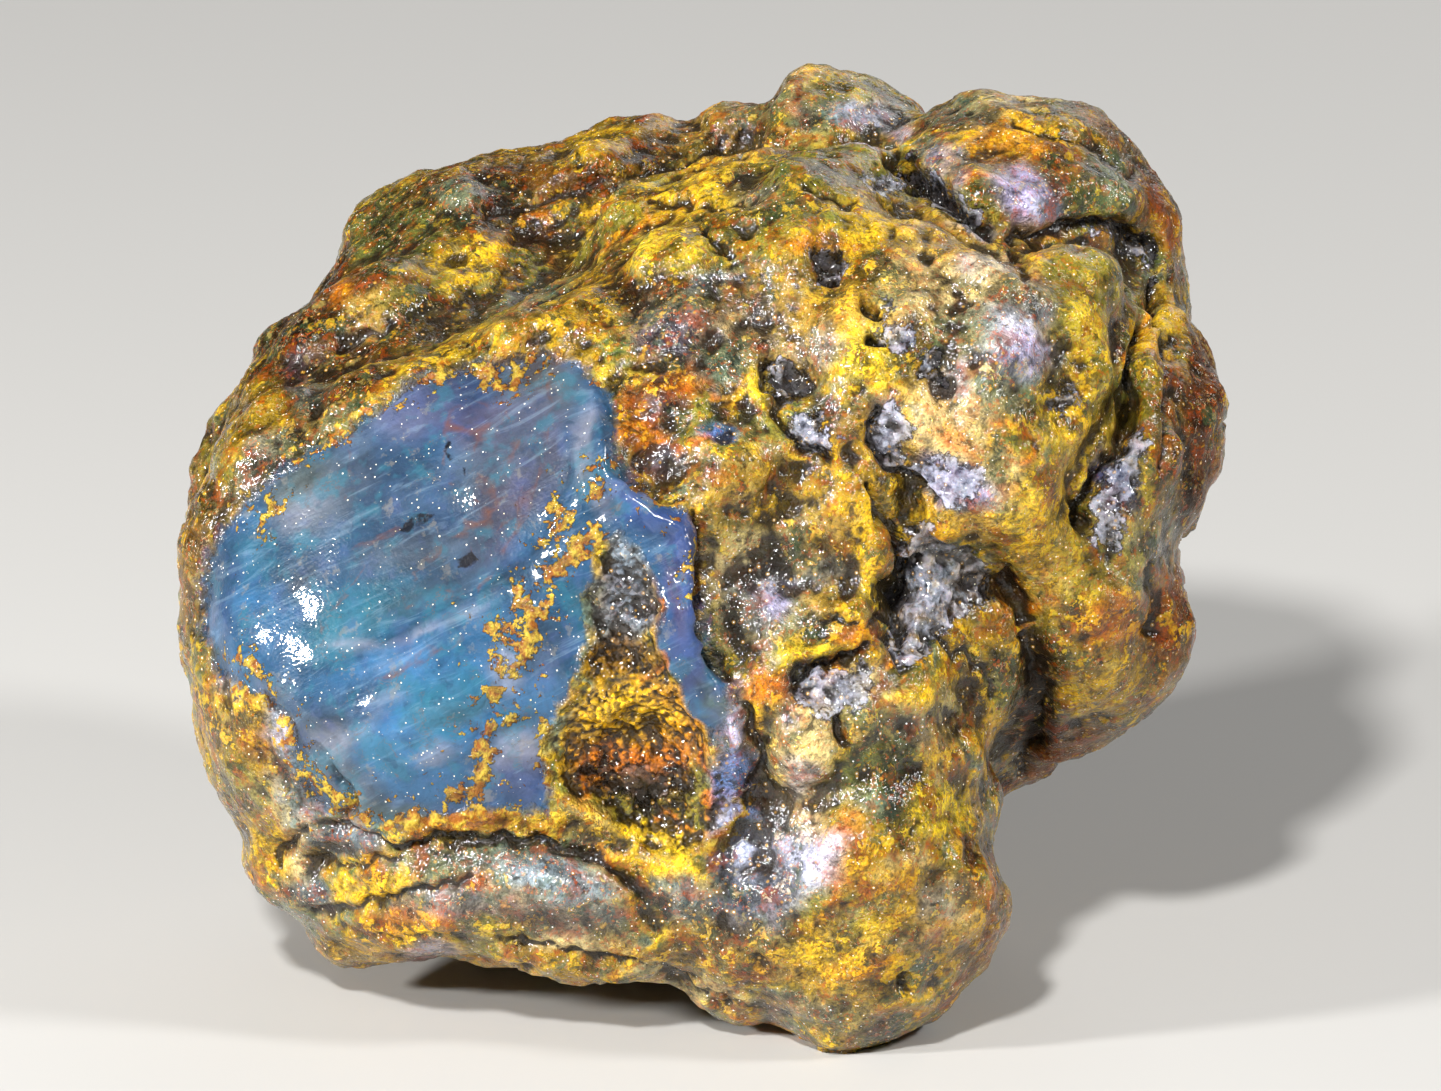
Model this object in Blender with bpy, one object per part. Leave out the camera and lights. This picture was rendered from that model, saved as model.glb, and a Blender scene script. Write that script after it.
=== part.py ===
"""A rough nodule of blue amber: one solid stone, resting on its own worn underside.

The stone is shaped in the frame of its front face, in millimetres: u runs to the right, v up the
face and w straight out of it, all from the middle of the stone. Big lobes are melted together
into one mass and broken faces are planed off it. Creases, ledges, hollows and swells are then
worked into the skin. At the end the stone is turned to metres, leans back onto its worn base and is
centred over the origin.
"""

import math

import bmesh
import bpy
import numpy as np
from mathutils import Matrix, noise

# Driving dimensions
NODE = "amber_nodule"
FACE_TILT = math.radians(18.0)  # how far the front face leans back when the stone rests
BASE_DEPTH = 26.9  # from the middle of the stone down to the ground, mm
MM = 0.001
SPHERE_CUTS = 7  # how often the starting icosphere is divided
SKIN_GRAIN = 0.5  # the size of the even faces that the shaped skin is rebuilt with, mm
KEPT_TRIANGLES = 9400  # in the finished solid, about

# Each lobe: centre (u, v, w) and radii, mm
LOBES = {
    "core": ((0.0, -1.0, -9.0), (28.0, 21.0, 22.0)),
    "left_mass": ((-16.5, 2.0, -11.0), (16.2, 17.5, 15.0)),
    "blue_dome": ((-15.5, -4.5, 1.5), (17.5, 18.3, 15.5)),
    "front_centre": ((-1.0, -1.5, 5.0), (19.0, 19.0, 14.5)),
    "front_crown": ((6.5, 13.5, 0.0), (15.0, 12.3, 14.5)),
    "front_mass": ((14.6, 7.0, -2.0), (17.2, 16.0, 20.2)),
    "front_column": ((9.0, -6.0, 6.0), (9.0, 14.0, 12.0)),
    "foot": ((10.0, -19.0, 7.0), (9.4, 11.8, 10.0)),
    "toe": ((3.0, -20.5, 6.0), (9.5, 8.3, 8.5)),
    "top_right_lobe": ((19.6, 19.0, -7.5), (11.0, 9.6, 11.5)),
    "right_lobe": ((20.2, 7.4, -4.0), (12.2, 14.4, 17.0)),
    "right_under": ((19.4, -3.8, -3.0), (11.4, 9.9, 15.5)),
    "back_ridge": ((-11.5, 14.6, -18.0), (12.2, 11.3, 11.5)),
    "back_saddle": ((-4.2, 17.3, -18.0), (11.6, 10.4, 11.0)),
    "back_knob": ((7.2, 21.3, -17.0), (9.7, 9.7, 9.5)),
    "left_heel": ((-18.0, -15.5, 0.0), (12.0, 10.4, 11.0)),
    "front_band": ((-8.0, -18.0, 4.0), (16.5, 8.5, 11.0)),
    "belly": ((-3.0, -13.2, -12.0), (19.0, 11.3, 16.0)),
}
LOBE_MELT = 2.5  # how far two lobes run together at a seam, mm
FARTHEST = 46.0  # every point of the stone is nearer its middle than this, mm

# Each broken face: outward direction (u, v, w) and distance from the middle, mm
BROKEN_FACES = {
    "blue_window": ((-0.42, 0.24, 0.87), 21.6),
    "back": ((0.12, -0.05, -1.0), 28.6),
    "right_back": ((0.80, 0.05, -0.60), 33.8),
    "left_back": ((-0.72, -0.10, -0.69), 31.8),
}
FACE_MELT = 3.0  # how far the edge of a broken face is rounded, mm

# The sides that the surface work is set out on: where each one's right, up and outward point
SIDES = {
    "front": ((1, 0, 0), (0, 1, 0), (0, 0, 1)),
    "back": ((-1, 0, 0), (0, 1, 0), (0, 0, -1)),
    "left": ((0, 0, 1), (0, 1, 0), (-1, 0, 0)),
    "right": ((0, 0, -1), (0, 1, 0), (1, 0, 0)),
    "top": ((1, 0, 0), (0, 0, -1), (0, 1, 0)),
}
EDGE_ON, FULL_ON = 0.0, 0.25  # how squarely the skin meets a side before its work fades in

# Each crease: side, its run (right, up), half width and depth, mm
CREASES = {
    "crown_crease": ("front", [(11.4, 24.9), (13.8, 23.1), (15.9, 21.7), (17.8, 20.3), (19.4, 19.5),
                               (22.5, 20.3), (25.3, 20.4), (28.1, 19.1), (29.3, 17.6)], 1.3, 2.8),
    "right_crevice": ("front", [(28.8, 18.0), (28.1, 15.6), (27.2, 12.8), (26.9, 9.4), (26.1, 6.3),
                                (24.7, 3.8), (24.1, 1.3), (24.9, -0.4)], 1.4, 2.6),
    "matrix_seam": ("front", [(11.3, 9.4), (10.9, 7.2), (11.8, 5.1), (12.2, 2.8), (11.9, 0.6),
                              (12.6, -1.6), (12.9, -3.8), (11.9, -5.9), (10.2, -6.8)], 1.1, 2.2),
    "matrix_branch": ("front", [(12.8, 5.0), (14.2, 3.9), (15.4, 2.7)], 0.8, 1.1),
    "flap_slot": ("front", [(10.2, -6.8), (8.1, -6.9), (5.9, -7.8), (5.3, -9.2)], 0.9, 1.2),
    "foot_notch": ("front", [(8.4, -9.8), (8.6, -11.3), (9.2, -12.4)], 0.8, 1.0),
    "side_fold": ("front", [(18.4, -1.6), (20.2, -5.0), (21.0, -9.4), (19.7, -13.8), (19.0, -16.5)],
                  1.9, 2.4),
    "band_fold": ("front", [(-27.0, -20.0), (-23.1, -19.1), (-18.8, -19.5), (-16.3, -18.8),
                            (-11.3, -18.0), (-7.5, -18.4), (-4.4, -19.7), (-2.8, -21.6)], 0.9, 1.5),
    "heel_fold": ("front", [(-24.1, -22.6), (-21.3, -22.2), (-18.8, -22.1), (-16.8, -21.1),
                            (-14.4, -20.6)], 0.8, 0.9),
    "ridge_trough": ("front", [(-14.0, 20.6), (-8.8, 20.9), (-5.0, 21.4), (-1.3, 22.9), (1.9, 24.6),
                               (5.4, 26.0)], 2.0, 2.4),
    "rim_trough": ("front", [(-27.5, 9.0), (-23.0, 11.8), (-18.5, 14.2), (-13.5, 16.4), (-8.0, 18.0)],
                   1.6, 0.9),
    "back_furrow": ("back", [(-17.0, 10.0), (-10.0, 5.0), (-1.0, 3.5), (8.0, -2.5), (15.0, -9.0)],
                    1.7, 2.2),
    "back_branch": ("back", [(-1.0, 3.5), (1.5, 10.0), (0.0, 17.0)], 1.5, 1.8),
    "left_furrow": ("left", [(-24.0, 8.0), (-15.0, 3.0), (-8.0, -4.0), (-3.0, -12.0)], 1.5, 1.7),
    "right_furrow": ("right", [(-2.0, 3.0), (6.0, -1.0), (14.0, 0.5), (22.0, -4.0)], 1.6, 2.0),
    "top_furrow": ("top", [(-2.0, 8.0), (3.0, 12.0), (4.0, 20.0), (1.0, 27.0)], 1.5, 1.8),
}

# Each ledge: side, its run, how far the skin falls to the right of the run, and how far out the
# fall is made up again, mm
LEDGES = {
    "blue_step": ("front", [(1.6, -8.2), (0.8, -5.6), (0.3, -3.1), (0.5, -0.6), (0.4, 1.3),
                            (-0.5, 3.1)], 1.3, 6.0),
    "bowl_rim": ("front", [(10.4, -6.4), (12.0, -3.4), (12.2, -0.8), (11.5, 1.9), (11.9, 3.8)],
                 1.3, 3.5),
    "crown_step": ("front", [(8.2, 5.6), (6.6, 6.7), (5.3, 8.4), (4.3, 10.3), (4.1, 12.6)], 1.2, 4.0),
    "rust_step": ("front", [(-0.6, 3.2), (-3.0, 3.4), (-5.6, 4.6), (-5.9, 6.6)], 0.7, 4.0),
    "back_step": ("back", [(10.0, -16.0), (4.0, -9.0), (-6.0, -8.0), (-14.0, -4.0)], 1.5, 6.0),
}
LEDGE_LIP = 0.5  # half the width of a ledge's fall, mm
WANDER = (3.2, 1.3)  # creases, ledges and hollows are pushed about: over what length and how far, mm

# Each hollow or, with a height below zero, swell: side, centre, radii, turn in degrees, depth
HOLLOWS = {
    "olive_bowl": ("front", (6.0, -0.8), (6.0, 7.6), 0.0, 1.3),
    "rust_pit": ("front", (-3.8, -13.6), (5.2, 5.0), 0.0, 2.0),
    "pit_arm": ("front", (-5.0, -5.4), (3.2, 7.2), 8.0, 1.2),
    "matrix_pocket": ("front", (15.6, -2.2), (4.2, 4.6), 0.0, 0.6),
    "crown_pit": ("front", (8.3, 17.8), (2.0, 2.4), 20.0, 1.3),
    "brow_pit": ("front", (14.6, 11.8), (2.0, 2.8), 0.0, 1.1),
    "upper_hole": ("front", (10.8, 15.6), (1.5, 1.2), -35.0, 1.5),
    "lower_hole": ("front", (11.6, 13.0), (1.6, 1.1), -25.0, 1.3),
    "eye_pit": ("front", (5.6, 11.2), (2.2, 2.8), 0.0, 1.0),
    "blue_dish": ("front", (-16.5, -1.5), (9.0, 6.0), 28.0, 0.8),
    "foot_dish": ("front", (3.5, -15.5), (3.0, 5.0), -20.0, 0.8),
    "back_bowl": ("back", (8.0, 9.0), (8.0, 6.0), 20.0, 2.2),
    "back_dish": ("back", (-11.0, -7.0), (6.5, 8.0), -15.0, 1.8),
    "left_bowl": ("left", (-12.0, 9.0), (7.0, 5.0), 30.0, 1.6),
    "right_bowl": ("right", (12.0, 8.0), (7.0, 5.0), -20.0, 1.8),
    "top_dish": ("top", (-10.0, 14.0), (7.0, 4.5), 10.0, 1.5),
    "pit_ridge": ("front", (-0.6, -4.6), (2.2, 8.6), 4.0, -1.1),
    "blue_rim": ("front", (-6.8, 4.4), (2.4, 7.0), -22.0, -0.9),
    "foot_knuckle": ("front", (5.9, -13.0), (2.8, 3.4), 0.0, -1.1),
    "brow_swell": ("front", (19.5, 13.0), (6.0, 5.5), 0.0, -0.9),
    "cheek_swell": ("front", (19.5, 2.0), (4.5, 4.0), 0.0, -0.8),
    "heel_swell": ("front", (-11.0, -22.0), (9.0, 3.0), 4.0, -0.8),
    "back_knuckle": ("back", (-9.0, 14.0), (6.0, 4.0), 30.0, -1.4),
    "back_boss": ("back", (9.0, -9.0), (7.0, 5.0), -30.0, -1.3),
    "left_boss": ("left", (5.0, 4.0), (6.0, 7.0), 0.0, -0.8),
    "right_boss": ("right", (-1.0, 10.0), (5.0, 6.0), 0.0, -1.0),
}

# The stone's own unevenness, from broad to fine: size of a lump and its height, mm. Knobs are
# rounded above and meet in sharp creases.
LUMPS = ((11.0, 0.9), (5.0, 0.6), (2.6, 0.35))
KNOBS = ((8.0, 2.2), (4.2, 1.3))
KNOB_SHIFT = 12.3  # moves the knobs off the lumps
WINDOW_CALM = ((-16.0, -2.0), (14.0, 14.0), 0.75)  # the blue window is smoother: centre, radii, share


def melted(first, second, reach):
    """The smooth union of two distance fields."""
    share = np.clip(0.5 + 0.5 * (second - first) / reach, 0.0, 1.0)
    return second + (first - second) * share - reach * share * (1.0 - share)


def smooth_step(low, high, value):
    """0 below low, 1 above high and a smooth rise between."""
    share = np.clip((value - low) / (high - low), 0.0, 1.0)
    return share * share * (3.0 - 2.0 * share)


def outside_stone(points):
    """About how far each point lies outside the mass of the stone, mm."""
    field = None
    for centre, radii in LOBES.values():
        scaled = (points - centre) / radii
        near = np.linalg.norm(scaled, axis=1)
        slope = np.linalg.norm(scaled / radii, axis=1) + 1e-9
        lobe = near * (near - 1.0) / slope
        field = lobe if field is None else melted(field, lobe, LOBE_MELT)
    for outward, distance in BROKEN_FACES.values():
        outward = np.array(outward) / np.linalg.norm(outward)
        field = -melted(-field, distance - points @ outward, FACE_MELT)
    return field


def mass_surface(directions):
    """The point where each direction from the middle leaves the stone, walked in from outside."""
    reach = np.full(len(directions), FARTHEST)
    for _ in range(60):
        reach -= 0.7 * outside_stone(directions * reach[:, None])
    return directions * reach[:, None]


def outward_normals(points, triangles):
    """The skin's direction at each point, from the triangles round it."""
    corners = points[triangles]
    facing = np.cross(corners[:, 1] - corners[:, 0], corners[:, 2] - corners[:, 0])
    normals = np.zeros_like(points)
    for corner in range(3):
        np.add.at(normals, triangles[:, corner], facing)
    return normals / np.linalg.norm(normals, axis=1, keepdims=True)


def set_out(side, points, normals):
    """The points as (right, up) on one side of the stone, and how squarely the skin faces it."""
    right, up, outward = (np.array(axis, float) for axis in SIDES[side])
    on_side = np.stack([points @ right, points @ up], axis=1)
    return on_side, smooth_step(EDGE_ON, FULL_ON, normals @ outward)


def from_run(spots, run):
    """For each spot its distance from a run of straight lengths, the distance with a sign that is
    above zero to the right of the run, and how far along the run it lies, from 0 to 1."""
    run = np.array(run)
    steps = run[1:] - run[:-1]
    lengths = np.linalg.norm(steps, axis=1)
    walked = np.concatenate([[0.0], np.cumsum(lengths)])
    nearest = np.full(len(spots), np.inf)
    signed = np.zeros(len(spots))
    along = np.zeros(len(spots))
    for start, step, length, before in zip(run, steps, lengths, walked):
        share = np.clip((spots - start) @ step / length**2, 0.0, 1.0)
        off = spots - (start + share[:, None] * step)
        distance = np.linalg.norm(off, axis=1)
        closer = distance < nearest
        nearest[closer] = distance[closer]
        right_of = off @ np.array([step[1], -step[0]]) >= 0.0
        signed[closer] = np.where(right_of, distance, -distance)[closer]
        along[closer] = (before + share * length)[closer] / walked[-1]
    return nearest, signed, along


def wandering(points):
    """How far each point is moved on its side, so that no crease or edge runs straight."""
    size, height = WANDER
    moved = [[noise.noise(p / size), noise.noise(p / size + KNOB_SHIFT)] for p in points]
    return height * np.array(moved)


def end_fade(along):
    """A run starts and ends shallow."""
    return smooth_step(0.0, 0.12, along) * smooth_step(0.0, 0.12, 1.0 - along)


def creased(points, normals):
    """How far the creases sink the skin at each point."""
    sunk = np.zeros(len(points))
    wander = wandering(points)
    for side, run, half_width, depth in CREASES.values():
        spots, faces = set_out(side, points, normals)
        distance, _, along = from_run(spots + wander, run)
        sunk += depth * faces * np.exp(-((distance / half_width) ** 2)) * (0.35 + 0.65 * end_fade(along))
    return sunk


def stepped(points, normals):
    """How far the ledges drop the skin at each point."""
    sunk = np.zeros(len(points))
    wander = wandering(points)
    for side, run, drop, reach in LEDGES.values():
        spots, faces = set_out(side, points, normals)
        distance, signed, along = from_run(spots + wander, run)
        fall = smooth_step(-LEDGE_LIP, LEDGE_LIP, signed) * np.exp(-((distance / reach) ** 2))
        sunk += drop * faces * fall * end_fade(along)
    return sunk


def hollowed(points, normals):
    """How far the hollows sink the skin at each point. Swells raise it."""
    sunk = np.zeros(len(points))
    wander = wandering(points)
    for side, centre, radii, turn, depth in HOLLOWS.values():
        spots, faces = set_out(side, points, normals)
        spots = spots + wander - centre
        angle = math.radians(turn)
        across = spots @ np.array([math.cos(angle), math.sin(angle)]) / radii[0]
        along = spots @ np.array([-math.sin(angle), math.cos(angle)]) / radii[1]
        sunk += depth * faces * (1.0 - smooth_step(0.0, 1.0, np.hypot(across, along)))
    return sunk


def lumpy(points, normals):
    """The stone's natural unevenness at each point, which is calmer on the blue window."""
    centre, radii, calm = WINDOW_CALM
    spots, faces = set_out("front", points, normals)
    from_window = np.linalg.norm((spots - centre) / radii, axis=1)
    keep = 1.0 - calm * faces * (1.0 - smooth_step(0.7, 1.1, from_window))
    raised = np.zeros(len(points))
    for size, height in LUMPS:
        raised += height * np.array([noise.noise(p / size) for p in points])
    for size, height in KNOBS:
        raised += height * np.array([abs(noise.noise(p / size + KNOB_SHIFT)) - 0.3 for p in points])
    return raised * keep


def leaned_back(points):
    """From the front face's frame to the ground's: X right, Y away from the viewer, Z up."""
    u, v, w = points.T
    sine, cosine = math.sin(FACE_TILT), math.cos(FACE_TILT)
    return np.stack([u, v * sine - w * cosine, v * cosine + w * sine + BASE_DEPTH], axis=1)


def shaped_skin():
    """The whole stone in metres, leaned back, before its base is worn flat."""
    sphere = bmesh.new()
    bmesh.ops.create_icosphere(sphere, subdivisions=SPHERE_CUTS, radius=1.0)
    directions = np.array([vertex.co for vertex in sphere.verts])
    directions /= np.linalg.norm(directions, axis=1, keepdims=True)
    triangles = np.array([[vertex.index for vertex in face.verts] for face in sphere.faces])
    points = mass_surface(directions)
    normals = outward_normals(points, triangles)
    sunk = creased(points, normals) + stepped(points, normals) + hollowed(points, normals)
    points = leaned_back(points + normals * (lumpy(points, normals) - sunk)[:, None])
    for vertex, point in zip(sphere.verts, points * MM):
        vertex.co = point
    mesh = bpy.data.meshes.new("shaped_skin")
    sphere.to_mesh(mesh)
    sphere.free()
    return mesh


def evened_and_thinned(mesh):
    """The skin rebuilt with even faces, which closes any fold, and then thinned where it is flat."""
    helper = bpy.data.objects.new("skin", mesh)
    bpy.context.scene.collection.objects.link(helper)
    even = helper.modifiers.new("even_faces", "REMESH")
    even.mode = "VOXEL"
    even.voxel_size = SKIN_GRAIN * MM
    bpy.context.view_layer.update()
    graph = bpy.context.evaluated_depsgraph_get()
    faces = len(helper.evaluated_get(graph).data.polygons)
    thin = helper.modifiers.new("thin_out", "DECIMATE")
    thin.ratio = KEPT_TRIANGLES / (2 * faces)
    thin.use_collapse_triangulate = True
    bpy.context.view_layer.update()
    graph = bpy.context.evaluated_depsgraph_get()
    result = bpy.data.meshes.new_from_object(helper.evaluated_get(graph))
    bpy.data.objects.remove(helper)
    return result


def keep_largest(stone):
    """Any crumb that the wear leaves loose from the stone is dropped."""
    left = set(stone.faces)
    bodies = []
    while left:
        found = [left.pop()]
        body = []
        while found:
            face = found.pop()
            body.append(face)
            beside = {other for edge in face.edges for other in edge.link_faces} & left
            left -= beside
            found += beside
        bodies.append(body)
    bodies.sort(key=len)
    crumbs = [face for body in bodies[:-1] for face in body]
    bmesh.ops.delete(stone, geom=crumbs, context="FACES")


def worn_base(mesh):
    """The stone cut flat where it touches the ground at Z = 0."""
    stone = bmesh.new()
    stone.from_mesh(mesh)
    skin = stone.verts[:] + stone.edges[:] + stone.faces[:]
    cut = bmesh.ops.bisect_plane(stone, geom=skin, plane_co=(0, 0, 0), plane_no=(0, 0, -1),
                                 clear_outer=True)
    rims = [edge for edge in cut["geom_cut"] if isinstance(edge, bmesh.types.BMEdge)]
    bmesh.ops.holes_fill(stone, edges=rims)
    bmesh.ops.triangulate(stone, faces=[face for face in stone.faces if len(face.verts) > 3])
    keep_largest(stone)
    bmesh.ops.recalc_face_normals(stone, faces=stone.faces)
    result = bpy.data.meshes.new(NODE)
    stone.to_mesh(result)
    stone.free()
    return result


def centred(mesh):
    """The stone moved level, until the middle of its width and of its depth lies over the origin."""
    corners = np.array([vertex.co for vertex in mesh.vertices])
    middle = (corners.min(axis=0) + corners.max(axis=0)) / 2
    mesh.transform(Matrix.Translation((-middle[0], -middle[1], 0.0)))
    return mesh


def rind_material():
    """Weathered amber: a hard, resinous skin, ochre to olive over blue."""
    material = bpy.data.materials.new("weathered_amber")
    material.use_nodes = True
    shader = material.node_tree.nodes["Principled BSDF"]
    shader.inputs["Base Color"].default_value = (0.35, 0.25, 0.07, 1.0)
    shader.inputs["Roughness"].default_value = 0.35
    shader.inputs["Metallic"].default_value = 0.0
    return material


def clear_scene():
    for item in list(bpy.data.objects):
        bpy.data.objects.remove(item)


def make_stone():
    """The stone's one object, in its place on the ground."""
    mesh = centred(worn_base(evened_and_thinned(shaped_skin())))
    stone = bpy.data.objects.new(NODE, mesh)
    stone.data.materials.append(rind_material())
    stone.data.shade_smooth()
    bpy.context.scene.collection.objects.link(stone)
    return stone


clear_scene()
make_stone()
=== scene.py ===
"""Looks of a rough nodule of blue amber: its skin in full detail, its finish, a floor and lights.

Places on the stone's face are pairs of millimetres, u to the right and v up from the middle of
the face, as its viewer sees them. Everything else is in the frame of the solid, +Z up.
"""

import math

import bpy
import numpy as np
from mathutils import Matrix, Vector, noise


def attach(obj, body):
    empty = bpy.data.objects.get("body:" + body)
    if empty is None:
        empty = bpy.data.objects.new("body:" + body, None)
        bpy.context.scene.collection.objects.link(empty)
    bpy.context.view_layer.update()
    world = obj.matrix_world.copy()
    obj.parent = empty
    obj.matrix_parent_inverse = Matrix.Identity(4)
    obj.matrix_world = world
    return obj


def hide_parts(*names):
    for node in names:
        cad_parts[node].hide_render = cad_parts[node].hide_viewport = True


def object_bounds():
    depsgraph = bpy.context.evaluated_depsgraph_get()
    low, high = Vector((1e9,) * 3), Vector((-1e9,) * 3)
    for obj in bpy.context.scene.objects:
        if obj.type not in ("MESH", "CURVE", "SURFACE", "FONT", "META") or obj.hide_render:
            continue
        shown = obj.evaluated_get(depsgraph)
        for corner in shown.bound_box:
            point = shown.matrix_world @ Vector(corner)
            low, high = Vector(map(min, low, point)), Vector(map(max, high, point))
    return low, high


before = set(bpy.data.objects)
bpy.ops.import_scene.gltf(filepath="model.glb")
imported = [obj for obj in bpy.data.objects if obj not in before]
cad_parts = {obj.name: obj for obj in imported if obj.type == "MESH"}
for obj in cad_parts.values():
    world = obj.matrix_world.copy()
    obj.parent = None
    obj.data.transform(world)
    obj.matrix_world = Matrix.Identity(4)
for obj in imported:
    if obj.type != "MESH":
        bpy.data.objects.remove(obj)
cad_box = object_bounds()

# ------------------------------------------------------------------------ The nodule's mass
# One natural lump of fossil resin, dug up whole. The solid's form is taken over, its facets are
# merged and rebuilt as one fine, even skin, and that is smoothed before detail is worked into it.

MM = 0.001
SKIN_GRAIN = 0.26  # between neighbouring points while the skin is worked, mm
FACET_ROUNDS = 90  # of smoothing, as many as hide the solid's facets
BASE_EDGE = 0.02  # a point this near the ground belongs to the worn base, mm

stone = bpy.data.objects.new("nodule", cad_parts["amber_nodule"].data.copy())
bpy.context.scene.collection.objects.link(stone)
bpy.ops.object.select_all(action="DESELECT")
stone.select_set(True)
bpy.context.view_layer.objects.active = stone
bpy.ops.object.mode_set(mode="EDIT")
bpy.ops.mesh.select_all(action="SELECT")
bpy.ops.mesh.remove_doubles(threshold=0.000001)
bpy.ops.object.mode_set(mode="OBJECT")
even_skin = stone.modifiers.new("even_skin", "REMESH")
even_skin.mode = "VOXEL"
even_skin.voxel_size = SKIN_GRAIN * MM
bpy.ops.object.modifier_apply(modifier="even_skin")


def skin_points():
    """Every point of the skin, mm."""
    flat = np.empty(len(stone.data.vertices) * 3)
    stone.data.vertices.foreach_get("co", flat)
    return flat.reshape(-1, 3) / MM


def move_skin(points):
    """Moves the skin's points to new places, mm, with none below the ground."""
    points[:, 2] = np.maximum(points[:, 2], 0.0)
    stone.data.vertices.foreach_set("co", (points * MM).ravel())
    stone.data.update()


def skin_normals():
    flat = np.empty(len(stone.data.vertices) * 3)
    stone.data.vertex_normals.foreach_get("vector", flat)
    return flat.reshape(-1, 3)


faceted = skin_points()
calm_skin = stone.modifiers.new("calm_skin", "SMOOTH")
calm_skin.factor = 0.5
calm_skin.iterations = FACET_ROUNDS
bpy.ops.object.modifier_apply(modifier="calm_skin")
smooth = skin_points()
worn = faceted[:, 2] < BASE_EDGE
smooth[worn] = faceted[worn]
move_skin(smooth)
points = skin_points()
normals = skin_normals()
raised = np.zeros(len(points))  # how far each point will be raised along its normal, mm


# ------------------------------------------------------------------------ Blue window
# Where the rind broke off, bare resin shows, and daylight turns it blue: a smooth, glossy,
# slightly shelled break with low waves and, on its right, a lip that the break ran up against.

FACE_TILT = math.radians(18.0)  # how far the face leans back
FACE_MIDDLE = np.array([-0.18, -5.22, 26.9])  # mm from the origin
FACE_RIGHT = np.array([1.0, 0.0, 0.0])
FACE_UP = np.array([0.0, math.sin(FACE_TILT), math.cos(FACE_TILT)])
FACE_OUT = np.array([0.0, -math.cos(FACE_TILT), math.sin(FACE_TILT)])
VIEW_DISTANCE = 900.0  # from the viewer to the middle of the face, mm


def step_up(low, high, value):
    """0 below low, 1 above high and a smooth rise between."""
    share = np.clip((value - low) / (high - low), 0.0, 1.0)
    return share * share * (3.0 - 2.0 * share)


def seen_on_face(places):
    """The places on the face, drawn together by the distance as its viewer sees them."""
    off = places - FACE_MIDDLE
    nearer = VIEW_DISTANCE / (VIEW_DISTANCE - off @ FACE_OUT)
    return np.stack([off @ FACE_RIGHT * nearer, off @ FACE_UP * nearer], axis=1)


def from_line(spots, line):
    """Distance from a line of straight lengths, the same with a sign that is above zero to the
    right of the line, and how far along the line, from 0 to 1."""
    line = np.array(line)
    steps = line[1:] - line[:-1]
    lengths = np.linalg.norm(steps, axis=1)
    walked = np.concatenate([[0.0], np.cumsum(lengths)])
    nearest = np.full(len(spots), 1e9)
    signed = np.zeros(len(spots))
    along = np.zeros(len(spots))
    for start, step, length, before in zip(line, steps, lengths, walked):
        share = np.clip((spots - start) @ step / length**2, 0.0, 1.0)
        off = spots - (start + share[:, None] * step)
        distance = np.hypot(off[:, 0], off[:, 1])
        closer = distance < nearest
        nearest[closer] = distance[closer]
        side = np.where(off @ np.array([step[1], -step[0]]) >= 0.0, 1.0, -1.0)
        signed[closer] = (distance * side)[closer]
        along[closer] = (before + share * length)[closer] / walked[-1]
    return nearest, signed, along


def end_fade(along, share):
    """1 along a line and 0 at its ends, with a fade that takes up this share of it."""
    return step_up(0.0, share, along) * step_up(0.0, share, 1.0 - along)


def into_loop(spots, loop):
    """How far inside a closed outline each place lies, mm. Outside it is below zero."""
    loop = np.array(loop)
    distance, _, _ = from_line(spots, np.concatenate([loop, loop[:1]]))
    inside = np.zeros(len(spots), bool)
    for (u1, v1), (u2, v2) in zip(loop, np.roll(loop, -1, axis=0)):
        if v1 != v2:
            crosses = (v1 > spots[:, 1]) != (v2 > spots[:, 1])
            inside ^= crosses & (spots[:, 0] < (u2 - u1) * (spots[:, 1] - v1) / (v2 - v1) + u1)
    return np.where(inside, distance, -distance)


def in_oval(spots, centre, radii, turn):
    """0 at the middle of an oval, 1 on its rim. The turn is in degrees, anticlockwise."""
    angle = math.radians(turn)
    off = spots - np.array(centre)
    across = off @ np.array([math.cos(angle), math.sin(angle)]) / radii[0]
    along = off @ np.array([-math.sin(angle), math.cos(angle)]) / radii[1]
    return np.hypot(across, along)


def cloud(places, size, octaves=3, shift=0.0):
    """Soft natural unevenness, about -1 to 1, whose largest lumps are size mm."""
    return np.array([noise.fractal(place, 0.9, 2.1, octaves)
                     for place in (places / size + shift).tolist()])


def wandering(places, reach, size, shift=0.0):
    """A natural sideways shift of about reach mm, for edges that no one drew."""
    return reach * np.array([noise.noise_vector(place)[:2]
                             for place in (places / size + shift).tolist()])


def keep(name, values):
    """Stores a number or a colour at every point of the skin, for the finish to read."""
    if values.ndim == 2:
        layer = stone.data.attributes.new(name, "FLOAT_COLOR", "POINT")
        layer.data.foreach_set("color", np.hstack([values, np.ones((len(values), 1))]).ravel())
    else:
        stone.data.attributes.new(name, "FLOAT", "POINT").data.foreach_set("value", values)


def linear(hex_colour):
    """A colour given in sRGB hex, as the linear values that light works with."""
    parts = [int(hex_colour[i:i + 2], 16) / 255 for i in (1, 3, 5)]
    return np.array([p / 12.92 if p <= 0.04045 else ((p + 0.055) / 1.055) ** 2.4 for p in parts])


def painted(colours, spots, patches, palette):
    """Lays soft patches of colour over the colours, one after another."""
    for name, centre, radii, turn, strength in patches:
        share = strength * facing * (1.0 - step_up(0.5, 1.3, in_oval(spots, centre, radii, turn)))
        colours += (linear(palette[name]) - colours) * share[:, None]
    return colours


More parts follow.
